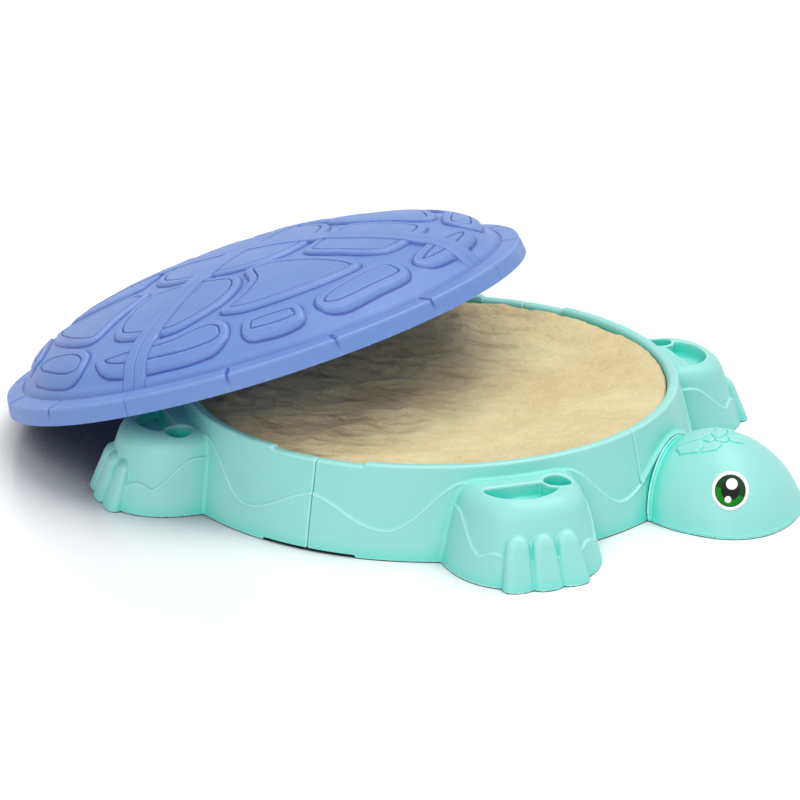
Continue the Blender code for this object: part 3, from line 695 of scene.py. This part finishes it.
def cover_plates():
    """Outer outlines of the raised plates on the right half of the cover, as shares of its radius.
    The left half mirrors them."""
    apex = [(0.32, 0.0), (0.305, -0.14), (0.245, -0.25), (0.14, -0.308), (0.0, -0.322),
            (-0.14, -0.308), (-0.245, -0.25), (-0.305, -0.14), (-0.32, 0.0), (0.0, 0.3)]
    shield = [(-0.17, -0.345), (-0.215, -0.43), (-0.223, -0.53), (-0.212, -0.63), (-0.165, -0.71),
              (0.0, -0.745), (0.1, -0.742), (0.175, -0.675), (0.236, -0.57), (0.248, -0.47),
              (0.215, -0.385), (0.16, -0.345)]
    lens = [(-0.215, -0.8), (-0.185, -0.778), (-0.05, -0.772), (0.05, -0.768), (0.12, -0.752),
            (0.19, -0.7), (0.25, -0.68), (0.312, -0.7), (0.345, -0.765), (0.312, -0.825),
            (0.19, -0.872), (0.0, -0.893), (-0.15, -0.868)]
    swept_head = [(0.185, -0.322), (0.225, -0.268), (0.3, -0.235), (0.42, -0.228), (0.59, -0.25),
                  (0.662, -0.3), (0.56, -0.469), (0.455, -0.575), (0.34, -0.65),
                  (0.232, -0.655), (0.268, -0.527), (0.262, -0.42), (0.21, -0.36)]
    swept_tail = [(-0.715, -0.285), (-0.6, -0.305), (-0.47, -0.312), (-0.325, -0.27),
                  (-0.2, -0.335), (-0.235, -0.43), (-0.262, -0.52), (-0.278, -0.668),
                  (-0.39, -0.632), (-0.515, -0.545), (-0.635, -0.43)]
    side_head = [(0.345, 0.05), (0.345, -0.155), (0.37, -0.195), (0.5, -0.205), (0.63, -0.2),
                 (0.7, -0.16), (0.725, 0.05)]
    side_tail = [(-0.345, 0.05), (-0.345, -0.12), (-0.33, -0.205), (-0.42, -0.255), (-0.56, -0.25),
                 (-0.7, -0.185), (-0.775, 0.05)]
    nose_head = [(0.768, 0.05), (0.775, -0.19), (0.805, -0.225), (0.86, -0.18), (0.89, 0.05)]
    nose_tail = [(-0.82, 0.05), (-0.815, -0.12), (-0.845, -0.205), (-0.885, -0.13), (-0.895, 0.05)]
    long_head = [(0.68, -0.27), (0.731, -0.236), (0.805, -0.258), (0.82, -0.316), (0.702, -0.545),
                 (0.635, -0.598), (0.583, -0.586), (0.571, -0.527)]
    long_tail = [(-0.715, -0.33), (-0.765, -0.235), (-0.825, -0.245), (-0.838, -0.31),
                 (-0.745, -0.48), (-0.675, -0.57), (-0.62, -0.545), (-0.64, -0.46)]
    small_head = [(0.357, -0.69), (0.425, -0.64), (0.525, -0.572), (0.59, -0.645), (0.513, -0.722),
                  (0.389, -0.785)]
    small_tail = [(-0.612, -0.63), (-0.585, -0.588), (-0.52, -0.59), (-0.33, -0.67),
                  (-0.25, -0.74), (-0.258, -0.825), (-0.33, -0.835), (-0.445, -0.78),
                  (-0.57, -0.69)]
    return [apex, shield, lens, swept_head, swept_tail, side_head, side_tail, nose_head, nose_tail,
            long_head, long_tail, small_head, small_tail]


def dome_height(r):
    """The cover's plain profile, r as a share of its radius, with its corners smoothed."""
    fine = np.linspace(-1.0, 1.0, 1601)
    xs, zs = zip(*LID_PROFILE)
    plain = np.interp(np.abs(fine), xs, zs)
    kernel = np.exp(-(np.arange(-48, 49) / 15.0) ** 2)
    soft = np.convolve(np.pad(plain, 48, mode="edge"), kernel / kernel.sum(), mode="valid")
    inner = np.interp(r, fine, soft)
    flange = FLANGE_IN_Z + (FLANGE_OUT_Z - FLANGE_IN_Z) * (r - FLANGE_IN) / (FLANGE_OUT - FLANGE_IN)
    skirt = FLANGE_OUT_Z * (1.0 - r) / (1.0 - FLANGE_OUT)
    edge = smooth_min(flange, skirt, SKIRT_ROUND)
    return smooth_max(inner, edge, FLANGE_ROUND)


def outline_near(outline, x, y):
    """An outline at the cover's size, and which points lie in or beside its box."""
    outline = rounded(outline) * LID_R
    low, high = outline.min(axis=0) - OUTLINE_MARGIN, outline.max(axis=0) + OUTLINE_MARGIN
    return outline, (x > low[0]) & (x < high[0]) & (y > low[1]) & (y < high[1])


def plate_height(x, y):
    """Plates against channels: 0 in a channel, with a narrow groove inside each plate's border.
    Also the creases: 1 in a groove and at the foot of a plate's edge."""
    height, crease = np.zeros(x.shape), np.zeros(x.shape)
    for outline in cover_plates():
        outline, near = outline_near(outline, x, y)
        if not near.any():
            continue
        depth = depth_inside(x[near], y[near], outline)
        groove = unit(1.0 - np.abs(depth - GROOVE_AT) / GROOVE_HALF)
        foot = unit(1.0 - np.abs(depth) / CREASE_HALF)
        plate = PLATE_RISE * unit(depth / PLATE_SLOPE) - GROOVE_DEPTH * groove
        height[near] = np.maximum(height[near], plate)
        crease[near] = np.maximum(crease[near], np.maximum(groove, foot))
    return height, crease


def align_to_plates(x, y, cell):
    """Slide grid points onto the plates' edges, so that the edges come out crisp."""
    x, y = x.copy(), -np.abs(y)
    levels = (0.0, PLATE_SLOPE, GROOVE_AT - GROOVE_HALF, GROOVE_AT, GROOVE_AT + GROOVE_HALF)
    free = np.minimum(np.abs(x), np.abs(y)) > cell
    free &= np.hypot(x, y) < 0.91 * LID_R
    tiny = 1e-5
    for outline in cover_plates():
        outline, near = outline_near(outline, x, y)
        near &= free
        if not near.any():
            continue
        depth = depth_inside(x[near], y[near], outline)
        slope_x = (depth_inside(x[near] + tiny, y[near], outline) - depth) / tiny
        slope_y = (depth_inside(x[near], y[near] + tiny, outline) - depth) / tiny
        move = np.zeros(depth.shape)
        for level in levels:
            gap = level - depth
            move = np.where((np.abs(gap) < 0.36 * cell) & (move == 0.0), gap, move)
        x[near] += move * slope_x
        y[near] += move * slope_y
    return x, y


def from_multiple(deg, pitch):
    """Angle to the nearest multiple of a pitch."""
    return np.abs((deg + 0.5 * pitch) % pitch - 0.5 * pitch)


def notch_share(x, y):
    """1 in the short radial notches of the flange; none beside the seams."""
    turn = np.degrees(np.arctan2(y, x))
    from_notch = np.radians(from_multiple(turn, NOTCH_PITCH_DEG)) * np.hypot(x, y)
    notch = unit(1.6 * (1.0 - from_notch / NOTCH_WIDE))
    return np.where(from_multiple(turn, 90.0) > NOTCH_CLEAR_DEG, notch, 0.0)


def cover_surface(x, y):
    """Height of the cover's outer surface above its bottom edge, and its creases, in metres."""
    r = np.hypot(x, y) / LID_R
    channel = ramp((PLATES_END - r) / PLATES_FADE)
    plates, crease = plate_height(x, -np.abs(y))
    height = dome_height(r) + (plates - PLATE_RISE) * channel
    across = np.minimum(np.abs(x), np.abs(y))
    ends = ramp((BAND_END - r) * LID_R / 0.004 + 0.5)
    band = unit((BAND_HALF - across) / BAND_SIDE + 0.5) * ends
    seam = unit(1.0 - across / SEAM_HALF)
    band_top = dome_height(r) + BAND_RISE * channel - SEAM_DEPTH * seam
    height = height * (1.0 - band) + np.maximum(height, band_top) * band
    beside = unit(1.0 - np.abs(across - BAND_HALF - 0.0012) / 0.002) * ends
    crease = np.maximum(crease * (1.0 - band), np.maximum(0.7 * beside, 0.55 * seam))
    strip = ramp((r - STRIP_IN) * LID_R / 0.0024 + 0.5) * ramp((STRIP_OUT - r) / 0.008)
    notch = notch_share(x, y) * strip
    strip_foot = unit(1.0 - np.abs(r - STRIP_IN) * LID_R / 0.0026)
    crease = np.maximum(crease, np.maximum(0.8 * notch, 0.55 * strip_foot))
    return height + STRIP_RISE * strip - NOTCH_DEEP * notch, crease


def cover_place():
    """From the cover's own frame to where it leans, by undoing the swing that closes it."""
    swing = frame["joints"][0]
    pole = Matrix.Translation(Vector(swing["pos_m"]))
    back = Matrix.Rotation(-math.radians(swing["range_deg"][1]), 4, Vector(swing["axis"]))
    return pole @ back @ pole.inverted() @ Matrix.Translation((0.0, 0.0, LID_CLOSED_Z))


def seam_rib(points, faces, along_x, turn):
    """A plate under the cover beside one seam, added to the points and faces of a quadrant's ribs."""
    base = len(points)
    near, far = RIB_OFF, RIB_OFF + RIB_T
    for r in np.linspace(RIB_FROM, RIB_TO, RIB_SPANS + 1):
        z = float(cover_surface(np.array([r]), np.array([0.01]))[0][0]) - LID_T
        for w, h in ((near, z - RIB_DEEP), (far, z - RIB_DEEP), (far, z), (near, z)):
            spot = (r, w) if along_x else (w, r)
            x, y = turn @ np.array(spot)
            points.append((x, y, h))
    for i in range(RIB_SPANS):
        for k in range(4):
            a, b = base + 4 * i + k, base + 4 * i + (k + 1) % 4
            faces.append((a, b, b + 4, a + 4))
    for end in (base, base + 4 * RIB_SPANS):
        faces.append((end, end + 1, end + 2, end + 3))


def quarter_spots(flat, turn):
    """A quarter of the unit disc at the cover's size, turned to its place and kept off the seams."""
    return (flat * LID_R + SEAM_GAP * (flat < ON_SEAM)) @ turn.T


def cover_lining(cells, rows, turn):
    """The underside of one quarter: the outer surface dropped by the skin, then the skirt's inside."""
    rim = [0.915, 0.93, 0.945, 0.96, 0.972, 0.98, 0.984, 0.9875, 0.9905, 0.994, 1.0]
    flat, quads = quarter_disc(cells, rows, rim)
    spots = quarter_spots(flat, turn)
    x, y = spots.T
    r = np.hypot(x, y) / LID_R
    lean = np.hypot(1.0, (dome_height(r + 0.002) - dome_height(r - 0.002)) / (0.004 * LID_R))
    steps = (-0.005, 0.0, 0.005)
    around = [cover_surface(x + dx, y + dy)[0] for dx in steps for dy in steps]
    under = np.minimum.reduce(around) - LID_T * lean
    skirt = (FLANGE_OUT_Z - LID_T) * unit((0.994 - r) / 0.01)
    under = np.where(r > 0.9835, skirt, under)
    return np.column_stack([spots, under]), quads[:, ::-1]


def build_cover(mat):
    """Four quadrants, each an outer surface with its lining, and the ribs beside its two seams."""
    place = np.array(cover_place())
    rim = [0.903, 0.906, 0.909, 0.912, 0.915, 0.918, 0.921, 0.9236, 0.926, 0.9284, 0.931, 0.935, 0.94,
           0.946, 0.953, 0.96, 0.967, 0.974, 0.979, 0.983, 0.986, 0.9885, 0.9905, 0.9925, 0.995, 0.9975,
           1.0]
    cells, rows = int(156 / COARSE), int(106 / COARSE)
    flat, quads = quarter_disc(cells, rows, rim)

    def leaning(points):
        return points @ place[:3, :3].T + place[:3, 3]

    names = ("cover_head_left", "cover_tail_left", "cover_tail_right", "cover_head_right")
    for k, name in enumerate(names):
        turn = quarter_turn(k)
        x, y = quarter_spots(flat, turn).T
        side = np.where(y < 0.0, 1.0, -1.0)
        x, y = align_to_plates(x, y, INNER * LID_R / cells)
        y = y * side
        height, crease = cover_surface(x, y)
        outer = np.stack([x, y, height], 1)
        low, low_quads = cover_lining(int(60 / COARSE), int(40 / COARSE), turn)
        faces = quads.tolist() + (low_quads + len(outer)).tolist()
        crease = np.concatenate([crease, np.zeros(len(low))])
        mesh_object(name + "_shell", leaning(np.concatenate([outer, low])), faces, mat, name, "cover",
                    crease)
        ribs, faces = [], []
        for along_x in (True, False):
            seam_rib(ribs, faces, along_x, turn)
        rib = mesh_object(name + "_ribs", leaning(np.array(ribs)), faces, mat, None, "cover")
        rib.data.polygons.foreach_set("use_smooth", [False] * len(rib.data.polygons))


# ---- sand

def ridged(x, y, seed):
    """Smooth noise folded into ridges."""
    return 1.0 - 2.0 * np.abs(lattice_noise(x, y, seed))


def sand_height(x, y):
    """Raked and handled sand: broad mounds, drawn-out ridges that are deeper under the cover, four
    hollows with raised rims, and a bank against the far wall."""
    bend = lattice_noise(x * 6.0, y * 6.0, 11)
    height = 0.0042 * lattice_noise(x * 5.5 + 3.0, y * 5.5 + 0.5 * bend, 1)
    height += 0.0026 * lattice_noise(x * 13.0 + bend, y * 13.0, 2)
    rough = ramp(0.62 - 2.2 * (x - 0.02) + 0.35 * bend)
    along_x, across_y = x * 0.93 + y * 0.37, y * 0.93 - x * 0.37
    drawn = ridged(along_x * 9.0 + 0.6 * bend, across_y * 24.0 + 1.1 * bend, 3)
    fine = ridged(along_x * 22.0 + bend, across_y * 46.0 + bend, 6)
    height += (0.0038 * drawn + 0.0018 * fine) * (0.22 + 0.78 * rough)
    height += 0.0012 * lattice_noise(x * 60.0, y * 60.0, 4)
    height += 0.0006 * lattice_noise(x * 120.0, y * 120.0, 5)
    for cx, cy, size, depth in ((0.03, -0.2, 0.06, 0.004), (0.2, -0.12, 0.05, 0.003),
                                (0.26, 0.1, 0.055, 0.003), (0.02, 0.04, 0.07, 0.003)):
        away = np.hypot(x - cx, y - cy) / size
        height += depth * (np.exp(-(away - 1.0) ** 2 * 9.0) - 1.3 * np.exp(-away ** 2 * 2.2))
    banked = ramp((np.hypot(x, y) / SAND_R - 0.7) / 0.28) * ramp(y / 0.2)
    return height + BANK_HIGH * banked


def build_sand(mat):
    """The sand as a closed solid: its surface, a flat bottom and the sides between them."""
    flat, quads = quarter_disc(int(92 / COARSE), int(60 / COARSE), [0.925, 0.95, 0.97, 0.985, 1.0])
    points, faces = [], []
    for k in range(4):
        turn = quarter_turn(k)
        points.append(flat @ turn.T * SAND_R)
        faces.append(quads + k * len(flat))
    points, faces = merged(np.concatenate(points), np.concatenate(faces))
    x, y = points[:, 0], points[:, 1]
    r = np.hypot(x, y) / SAND_R
    top = SAND_LEVEL - SAND_BELOW + sand_height(x, y) + SAND_RIM_RISE * r ** 6
    below = np.stack([x * SAND_TAPER, y * SAND_TAPER, np.full(len(x), SAND_FLOOR)], 1)
    solid = np.concatenate([np.stack([x, y, top], 1), below])
    rim = np.nonzero(r > 0.99999)[0]
    rim = rim[np.argsort(np.arctan2(y[rim], x[rim]))]
    count = len(x)
    sides = [(int(rim[i]), int(rim[i]) + count, int(rim[(i + 1) % len(rim)]) + count,
              int(rim[(i + 1) % len(rim)])) for i in range(len(rim))]
    bottom = [tuple(int(i) + count for i in rim[::-1])]
    used = np.unique(np.concatenate([faces.reshape(-1), rim, rim + count]))
    renumber = np.full(2 * count, -1)
    renumber[used] = np.arange(len(used))
    all_faces = [[int(renumber[i]) for i in face] for face in faces.tolist() + sides + bottom]
    mesh_object("sand_bed", solid[used], all_faces, mat, "sand_fill", "tub")


# ---- materials

class Nodes:
    """Short calls for adding nodes to a tree."""

    def __init__(self, tree):
        self.tree = tree

    def put(self, target, value):
        """A value into a socket: a link from another node's output, or a plain value."""
        if hasattr(value, "is_output"):
            self.tree.links.new(value, target)
        else:
            target.default_value = value

    def add(self, kind, inputs=None, **settings):
        node = self.tree.nodes.new("ShaderNode" + kind)
        for key, value in settings.items():
            setattr(node, key, value)
        for key, value in (inputs or {}).items():
            self.put(node.inputs[key], value)
        return node

    def math(self, operation, a, b=0.0):
        return self.add("Math", {0: a, 1: b}, operation=operation).outputs[0]

    def mix(self, factor, a, b):
        return self.add("Mix", {0: factor, 6: a, 7: b}, data_type="RGBA").outputs[2]

    def span(self, value, low, high, to_low=0.0, to_high=1.0):
        return self.add("MapRange", {0: value, 1: low, 2: high, 3: to_low, 4: to_high}).outputs[0]

    def noise(self, scale, detail=3.0, rough=0.5, where=None):
        inputs = {"Scale": scale, "Detail": detail, "Roughness": rough}
        inputs["Vector"] = where or self.add("TexCoord").outputs["Object"]
        return self.add("TexNoise", inputs).outputs["Fac"]

    def bump(self, height, strength, distance, normal=None):
        inputs = {"Height": height, "Strength": strength, "Distance": distance}
        if normal is not None:
            inputs["Normal"] = normal
        return self.add("Bump", inputs).outputs["Normal"]


class Shader(Nodes):
    """A Principled material."""

    def __init__(self, name):
        self.mat = bpy.data.materials.new(name)
        self.mat.use_nodes = True
        super().__init__(self.mat.node_tree)

    def finish(self, **sockets):
        for key, value in sockets.items():
            self.put(self.tree.nodes["Principled BSDF"].inputs[key.replace("_", " ")], value)
        return self.mat


def moulded_plastic(name, colour, hollow, edge, rough, hollow_reach, hollow_range, coat, crease_shade):
    """Satin rotomoulded plastic with a fine orange peel. Painted shade: the colour deepens towards the
    hollow colour in its hollows and along the marked creases. Painted highlight: sharp edges are paler,
    broken up by noise."""
    s = Shader(name)
    # Painted shade: where ambient occlusion finds a hollow, and where the crease mask marks a groove, the
    # colour is mixed towards the darker, more saturated hollow colour.
    open_air = s.add("AmbientOcclusion", {"Distance": hollow_reach}, samples=8).outputs["AO"]
    drift = s.span(s.noise(3.5, 4.0), 0.3, 0.7)
    paler = [min(1.0, c * 1.07 + 0.008) for c in colour[:3]] + [1.0]
    base = s.mix(drift, colour, paler)
    deep = s.span(open_air, hollow_range[0], hollow_range[1], 1.0, 0.0)
    crease = s.add("Attribute", attribute_name="crease").outputs["Fac"]
    deep = s.math("MAXIMUM", deep, s.math("MULTIPLY", crease, crease_shade))
    base = s.mix(deep, base, hollow)
    # Painted highlight: sharp edges, found by pointiness, are mixed towards the paler edge colour, broken
    # up by noise.
    sharp = s.span(s.add("NewGeometry").outputs["Pointiness"], 0.507, 0.57)
    edge_highlight_breakup = s.span(s.noise(60.0, 5.0, 0.7), 0.35, 0.65)
    painted_edge_highlight = s.math("MULTIPLY", sharp, s.span(edge_highlight_breakup, 0.0, 1.0, 0.45, 0.85))
    base = s.mix(painted_edge_highlight, base, edge)
    roughness = s.span(s.noise(22.0, 6.0, 0.65), 0.3, 0.7, rough - 0.05, rough + 0.07)
    peel = s.bump(s.noise(420.0, 2.0), 0.1, 0.0004)
    peel = s.bump(s.noise(9.0, 2.0), 0.06, 0.004, peel)
    return s.finish(Base_Color=base, Roughness=roughness, Normal=peel, Coat_Weight=coat,
                    Coat_Roughness=0.22, Specular_IOR_Level=0.5)


def sand_material():
    """Pale grains with dark specks, painted shade as dark streaks towards the cover, and painted shade
    where it is enclosed.
    """
    s = Shader("play_sand_grains")
    spot = s.add("TexCoord").outputs["Object"]
    grains = s.add("TexVoronoi", {"Scale": 620.0, "Vector": spot})
    tint = s.add("SeparateColor", {0: grains.outputs["Color"]}).outputs[0]
    pale, warm, dark = (0.88, 0.75, 0.43, 1.0), (0.77, 0.59, 0.31, 1.0), (0.3, 0.19, 0.1, 1.0)
    base = s.mix(s.span(s.noise(6.0, 5.0, 0.6, spot), 0.34, 0.66), warm, pale)
    base = s.mix(s.span(tint, 0.55, 1.0, 0.0, 0.35), base, (0.93, 0.84, 0.68, 1.0))
    base = s.mix(s.span(s.noise(240.0, 3.0, 0.6, spot), 0.6, 0.78, 0.0, 0.55), base, dark)
    # Painted shade: dark streaks towards the cover stand in for the shade in the crevices of rough sand.
    bent = s.add("Mapping",
                 {"Vector": spot, "Rotation": (0.0, 0.0, 0.35), "Scale": (9.0, 26.0, 9.0)})
    streaks = s.noise(1.0, 8.0, 0.72, bent.outputs[0])
    toward_cover = s.span(s.add("SeparateXYZ", {0: spot}).outputs[0], -0.1, 0.16, 1.0, 0.12)
    streak_shade = s.math("MULTIPLY", s.span(streaks, 0.5, 0.66, 0.0, 0.72), toward_cover)
    base = s.mix(streak_shade, base, (0.3, 0.175, 0.085, 1.0))
    # Painted shade: where ambient occlusion finds the sand enclosed, its colour is mixed towards a dark
    # brown.
    air = s.add("AmbientOcclusion", {"Distance": 0.26}, samples=6).outputs["AO"]
    enclosed_shade = s.span(air, 0.16, 0.5, 0.72, 0.0)
    base = s.mix(enclosed_shade, base, (0.3, 0.135, 0.045, 1.0))
    rough = s.span(s.noise(300.0, 2.0, 0.5, spot), 0.3, 0.7, 0.82, 1.0)
    normal = s.bump(grains.outputs["Distance"], 0.45, 0.0012)
    normal = s.bump(s.noise(70.0, 7.0, 0.74, spot), 0.85, 0.006, normal)
    return s.finish(Base_Color=base, Roughness=rough, Normal=normal, Specular_IOR_Level=0.2)


def woven_material():
    """The black ground sheet's plain weave."""
    s = Shader("black_ground_weave")
    spot = s.add("TexCoord").outputs["Object"]
    warp = s.add("TexWave", {"Vector": spot, "Scale": 260.0}, bands_direction="X").outputs["Fac"]
    weft = s.add("TexWave", {"Vector": spot, "Scale": 260.0}, bands_direction="Y").outputs["Fac"]
    weave = s.math("MULTIPLY", warp, weft)
    base = s.mix(weave, (0.006, 0.006, 0.007, 1.0), (0.026, 0.027, 0.03, 1.0))
    rough = s.span(s.noise(50.0), 0.3, 0.7, 0.7, 0.95)
    return s.finish(Base_Color=base, Roughness=rough, Normal=s.bump(weave, 0.6, 0.0006))


def rivet_material(name, colour, dark):
    """Smooth injection-moulded plastic in the colour of the piece it holds."""
    s = Shader(name)
    base = s.mix(s.span(s.noise(80.0, 4.0), 0.3, 0.7), colour, dark)
    rough = s.span(s.noise(200.0, 3.0), 0.3, 0.7, 0.35, 0.55)
    return s.finish(Base_Color=base, Roughness=rough, Normal=s.bump(s.noise(700.0), 0.12, 0.0003))


def eye_material():
    """The printed eye: rings and highlights as circles in the sticker's flat coordinates."""
    s = Shader("eye_print_vinyl")
    uv = s.add("UVMap", uv_map="Print").outputs["UV"]
    parts = s.add("SeparateXYZ", {0: uv})
    x, y = s.span(parts.outputs[0], 0, 1, -1, 1), s.span(parts.outputs[1], 0, 1, -1, 1)

    def disc(cx, cy, radius, tall=1.0):
        dx = s.math("SUBTRACT", x, cx)
        dy = s.math("DIVIDE", s.math("SUBTRACT", y, cy), tall)
        away = s.math("SQRT", s.math("ADD", s.math("MULTIPLY", dx, dx), s.math("MULTIPLY", dy, dy)))
        return s.span(away, radius - 0.012, radius + 0.012, 1.0, 0.0)

    white, black = (0.88, 0.9, 0.89, 1.0), (0.008, 0.008, 0.009, 1.0)
    below = s.math("ADD", s.math("MULTIPLY", x, 0.34), y)
    crescent = s.span(below, -0.07, -0.05, 1.0, 0.0)
    iris = s.mix(crescent, (0.003, 0.036, 0.007, 1.0), (0.001, 0.21, 0.006, 1.0))
    iris = s.mix(s.span(s.noise(14.0, 2.0), 0.3, 0.7, 0.0, 0.15), iris, (0.008, 0.13, 0.015, 1.0))
    base = s.mix(disc(0.0, 0.0, 0.82), white, black)
    base = s.mix(disc(0.0, 0.0, 0.765), base, iris)
    base = s.mix(disc(0.0, 0.02, 0.5), base, black)
    base = s.mix(disc(0.07, 0.35, 0.31, 0.92), base, white)
    base = s.mix(disc(-0.11, -0.44, 0.175), base, white)
    rough = s.span(s.noise(120.0, 3.0), 0.3, 0.7, 0.4, 0.52)
    return s.finish(Base_Color=base, Roughness=rough, Normal=s.bump(s.noise(500.0), 0.05, 0.0002),
                    Specular_IOR_Level=0.12)


def dress_cad_nodes(mats):
    """The sheet and the rivets keep their CAD shape and get their finish here."""
    for name, ob in frame["nodes"].items():
        if name == "ground_sheet":
            mat = mats["sheet"]
        elif name.startswith("rivet_cover"):
            mat = mats["cover_rivet"]
        elif name.startswith("rivet"):
            mat = mats["rivet"]
        else:
            continue
        ob.data.materials.clear()
        ob.data.materials.append(mat)


# ---- stage

def build_floor():
    """A pale floor with a painted shadow: its colour turns near-black where the object shuts out the open
    air above it.
    """
    s = Shader("pale_floor")
    shade = s.mix(s.span(s.noise(1.5), 0.3, 0.7), (0.93, 0.94, 0.945, 1.0), (0.95, 0.955, 0.96, 1.0))
    # Painted shadow: under the object, where ambient occlusion is low, the floor's colour is mixed towards
    # a near-black navy.
    open_air = s.add("AmbientOcclusion", {"Distance": 0.4}, samples=12).outputs["AO"]
    shade = s.mix(s.span(open_air, 0.2, 0.6, 0.97, 0.0), shade, (0.012, 0.015, 0.035, 1.0))
    s.finish(Base_Color=shade, Roughness=0.24, Specular_IOR_Level=0.35)
    mesh = bpy.data.meshes.new("floor")
    mesh.from_pydata([(-9, -7, FLOOR_Z), (9, -7, FLOOR_Z), (9, 12, FLOOR_Z), (-9, 12, FLOOR_Z)], [],
                     [(0, 1, 2, 3)])
    mesh.materials.append(s.mat)
    linked("floor", mesh)


def sun_light(name, azimuth, elevation, power, softness):
    """A distant soft light; azimuth from +X towards +Y."""
    turn, rise = math.radians(azimuth), math.radians(elevation)
    lamp = bpy.data.lights.new(name, "SUN")
    lamp.energy = power
    lamp.angle = math.radians(softness)
    toward = Vector((math.cos(turn) * math.cos(rise), math.sin(turn) * math.cos(rise), math.sin(rise)))
    linked(name, lamp).rotation_euler = toward.to_track_quat("Z", "Y").to_euler()


def build_lights():
    """A high key, a low fill from the front, and a white world that lights less than it shows."""
    sun_light("key", azimuth=46.0, elevation=71.0, power=2.05, softness=50.0)
    sun_light("front_fill", azimuth=-84.0, elevation=34.0, power=1.2, softness=46.0)
    world = bpy.data.worlds.new("studio")
    world.use_nodes = True
    sky = Nodes(world.node_tree)
    ray = sky.add("LightPath").outputs
    seen = sky.math("MAXIMUM", ray["Is Camera Ray"], ray["Is Glossy Ray"])
    back = world.node_tree.nodes["Background"].inputs
    sky.put(back["Strength"], sky.span(seen, 0.0, 1.0, WORLD_LIGHT, 1.0))
    sky.put(back["Color"], (1.0, 1.0, 1.0, 1.0))
    bpy.context.scene.world = world
    bpy.context.scene.view_settings.view_transform = "Standard"


def build_camera():
    """The view from the front right of the turtle, a little above it."""
    azimuth, elevation, distance = math.radians(25.64), math.radians(21.2), 4.805
    aim = Vector((-0.0418, -0.0366, 0.1057))
    back = Vector((math.sin(azimuth) * math.cos(elevation), -math.cos(azimuth) * math.cos(elevation),
                   math.sin(elevation)))
    lens = bpy.data.cameras.new("camera")
    lens.lens = 119.5
    ob = linked("camera", lens)
    ob.location = aim + back * distance
    ob.rotation_euler = (-back).to_track_quat("-Z", "Y").to_euler()
    bpy.context.scene.camera = ob


def main():
    # In both plastics, hollow is the colour of painted shade in hollows and creases, and edge is the
    # colour of painted highlight on sharp edges.
    mint = moulded_plastic("mint_moulded_plastic", colour=(0.268, 0.662, 0.606, 1.0),
                           hollow=(0.012, 0.67, 0.56, 1.0), edge=(0.66, 0.92, 0.89, 1.0), rough=0.45,
                           hollow_reach=0.045, hollow_range=(0.38, 0.9), coat=0.05, crease_shade=0.9)
    blue = moulded_plastic("blue_moulded_plastic", colour=(0.13, 0.238, 0.56, 1.0),
                           hollow=(0.004, 0.026, 0.29, 1.0), edge=(0.34, 0.46, 0.84, 1.0), rough=0.48,
                           hollow_reach=0.011, hollow_range=(0.64, 0.97), coat=0.0, crease_shade=1.0)
    mats = {"sheet": woven_material(),
            "rivet": rivet_material("mint_rivet", (0.22, 0.6, 0.54, 1.0), (0.17, 0.5, 0.45, 1.0)),
            "cover_rivet": rivet_material("blue_rivet", (0.09, 0.2, 0.58, 1.0), (0.06, 0.15, 0.46, 1.0))}
    sectors = (("wall_front_right", -90.0, -PANEL_HALF_DEG, -FOOT_DEG),
               ("wall_front_left", PANEL_HALF_DEG, 90.0, FOOT_DEG),
               ("wall_rear_left", 90.0, 180.0, 180.0 - FOOT_DEG),
               ("wall_rear_right", -180.0, -90.0, FOOT_DEG - 180.0),
               ("front_panel", -PANEL_HALF_DEG, PANEL_HALF_DEG, None))
    for name, start, stop, foot in sectors:
        tub_sector(name, start, stop, foot, mint)
    build_head(mint)
    eye = eye_material()
    build_eye(-1, eye)
    build_eye(1, eye)
    build_cover(blue)
    build_sand(sand_material())
    dress_cad_nodes(mats)
    build_floor()
    build_lights()
    build_camera()


main()
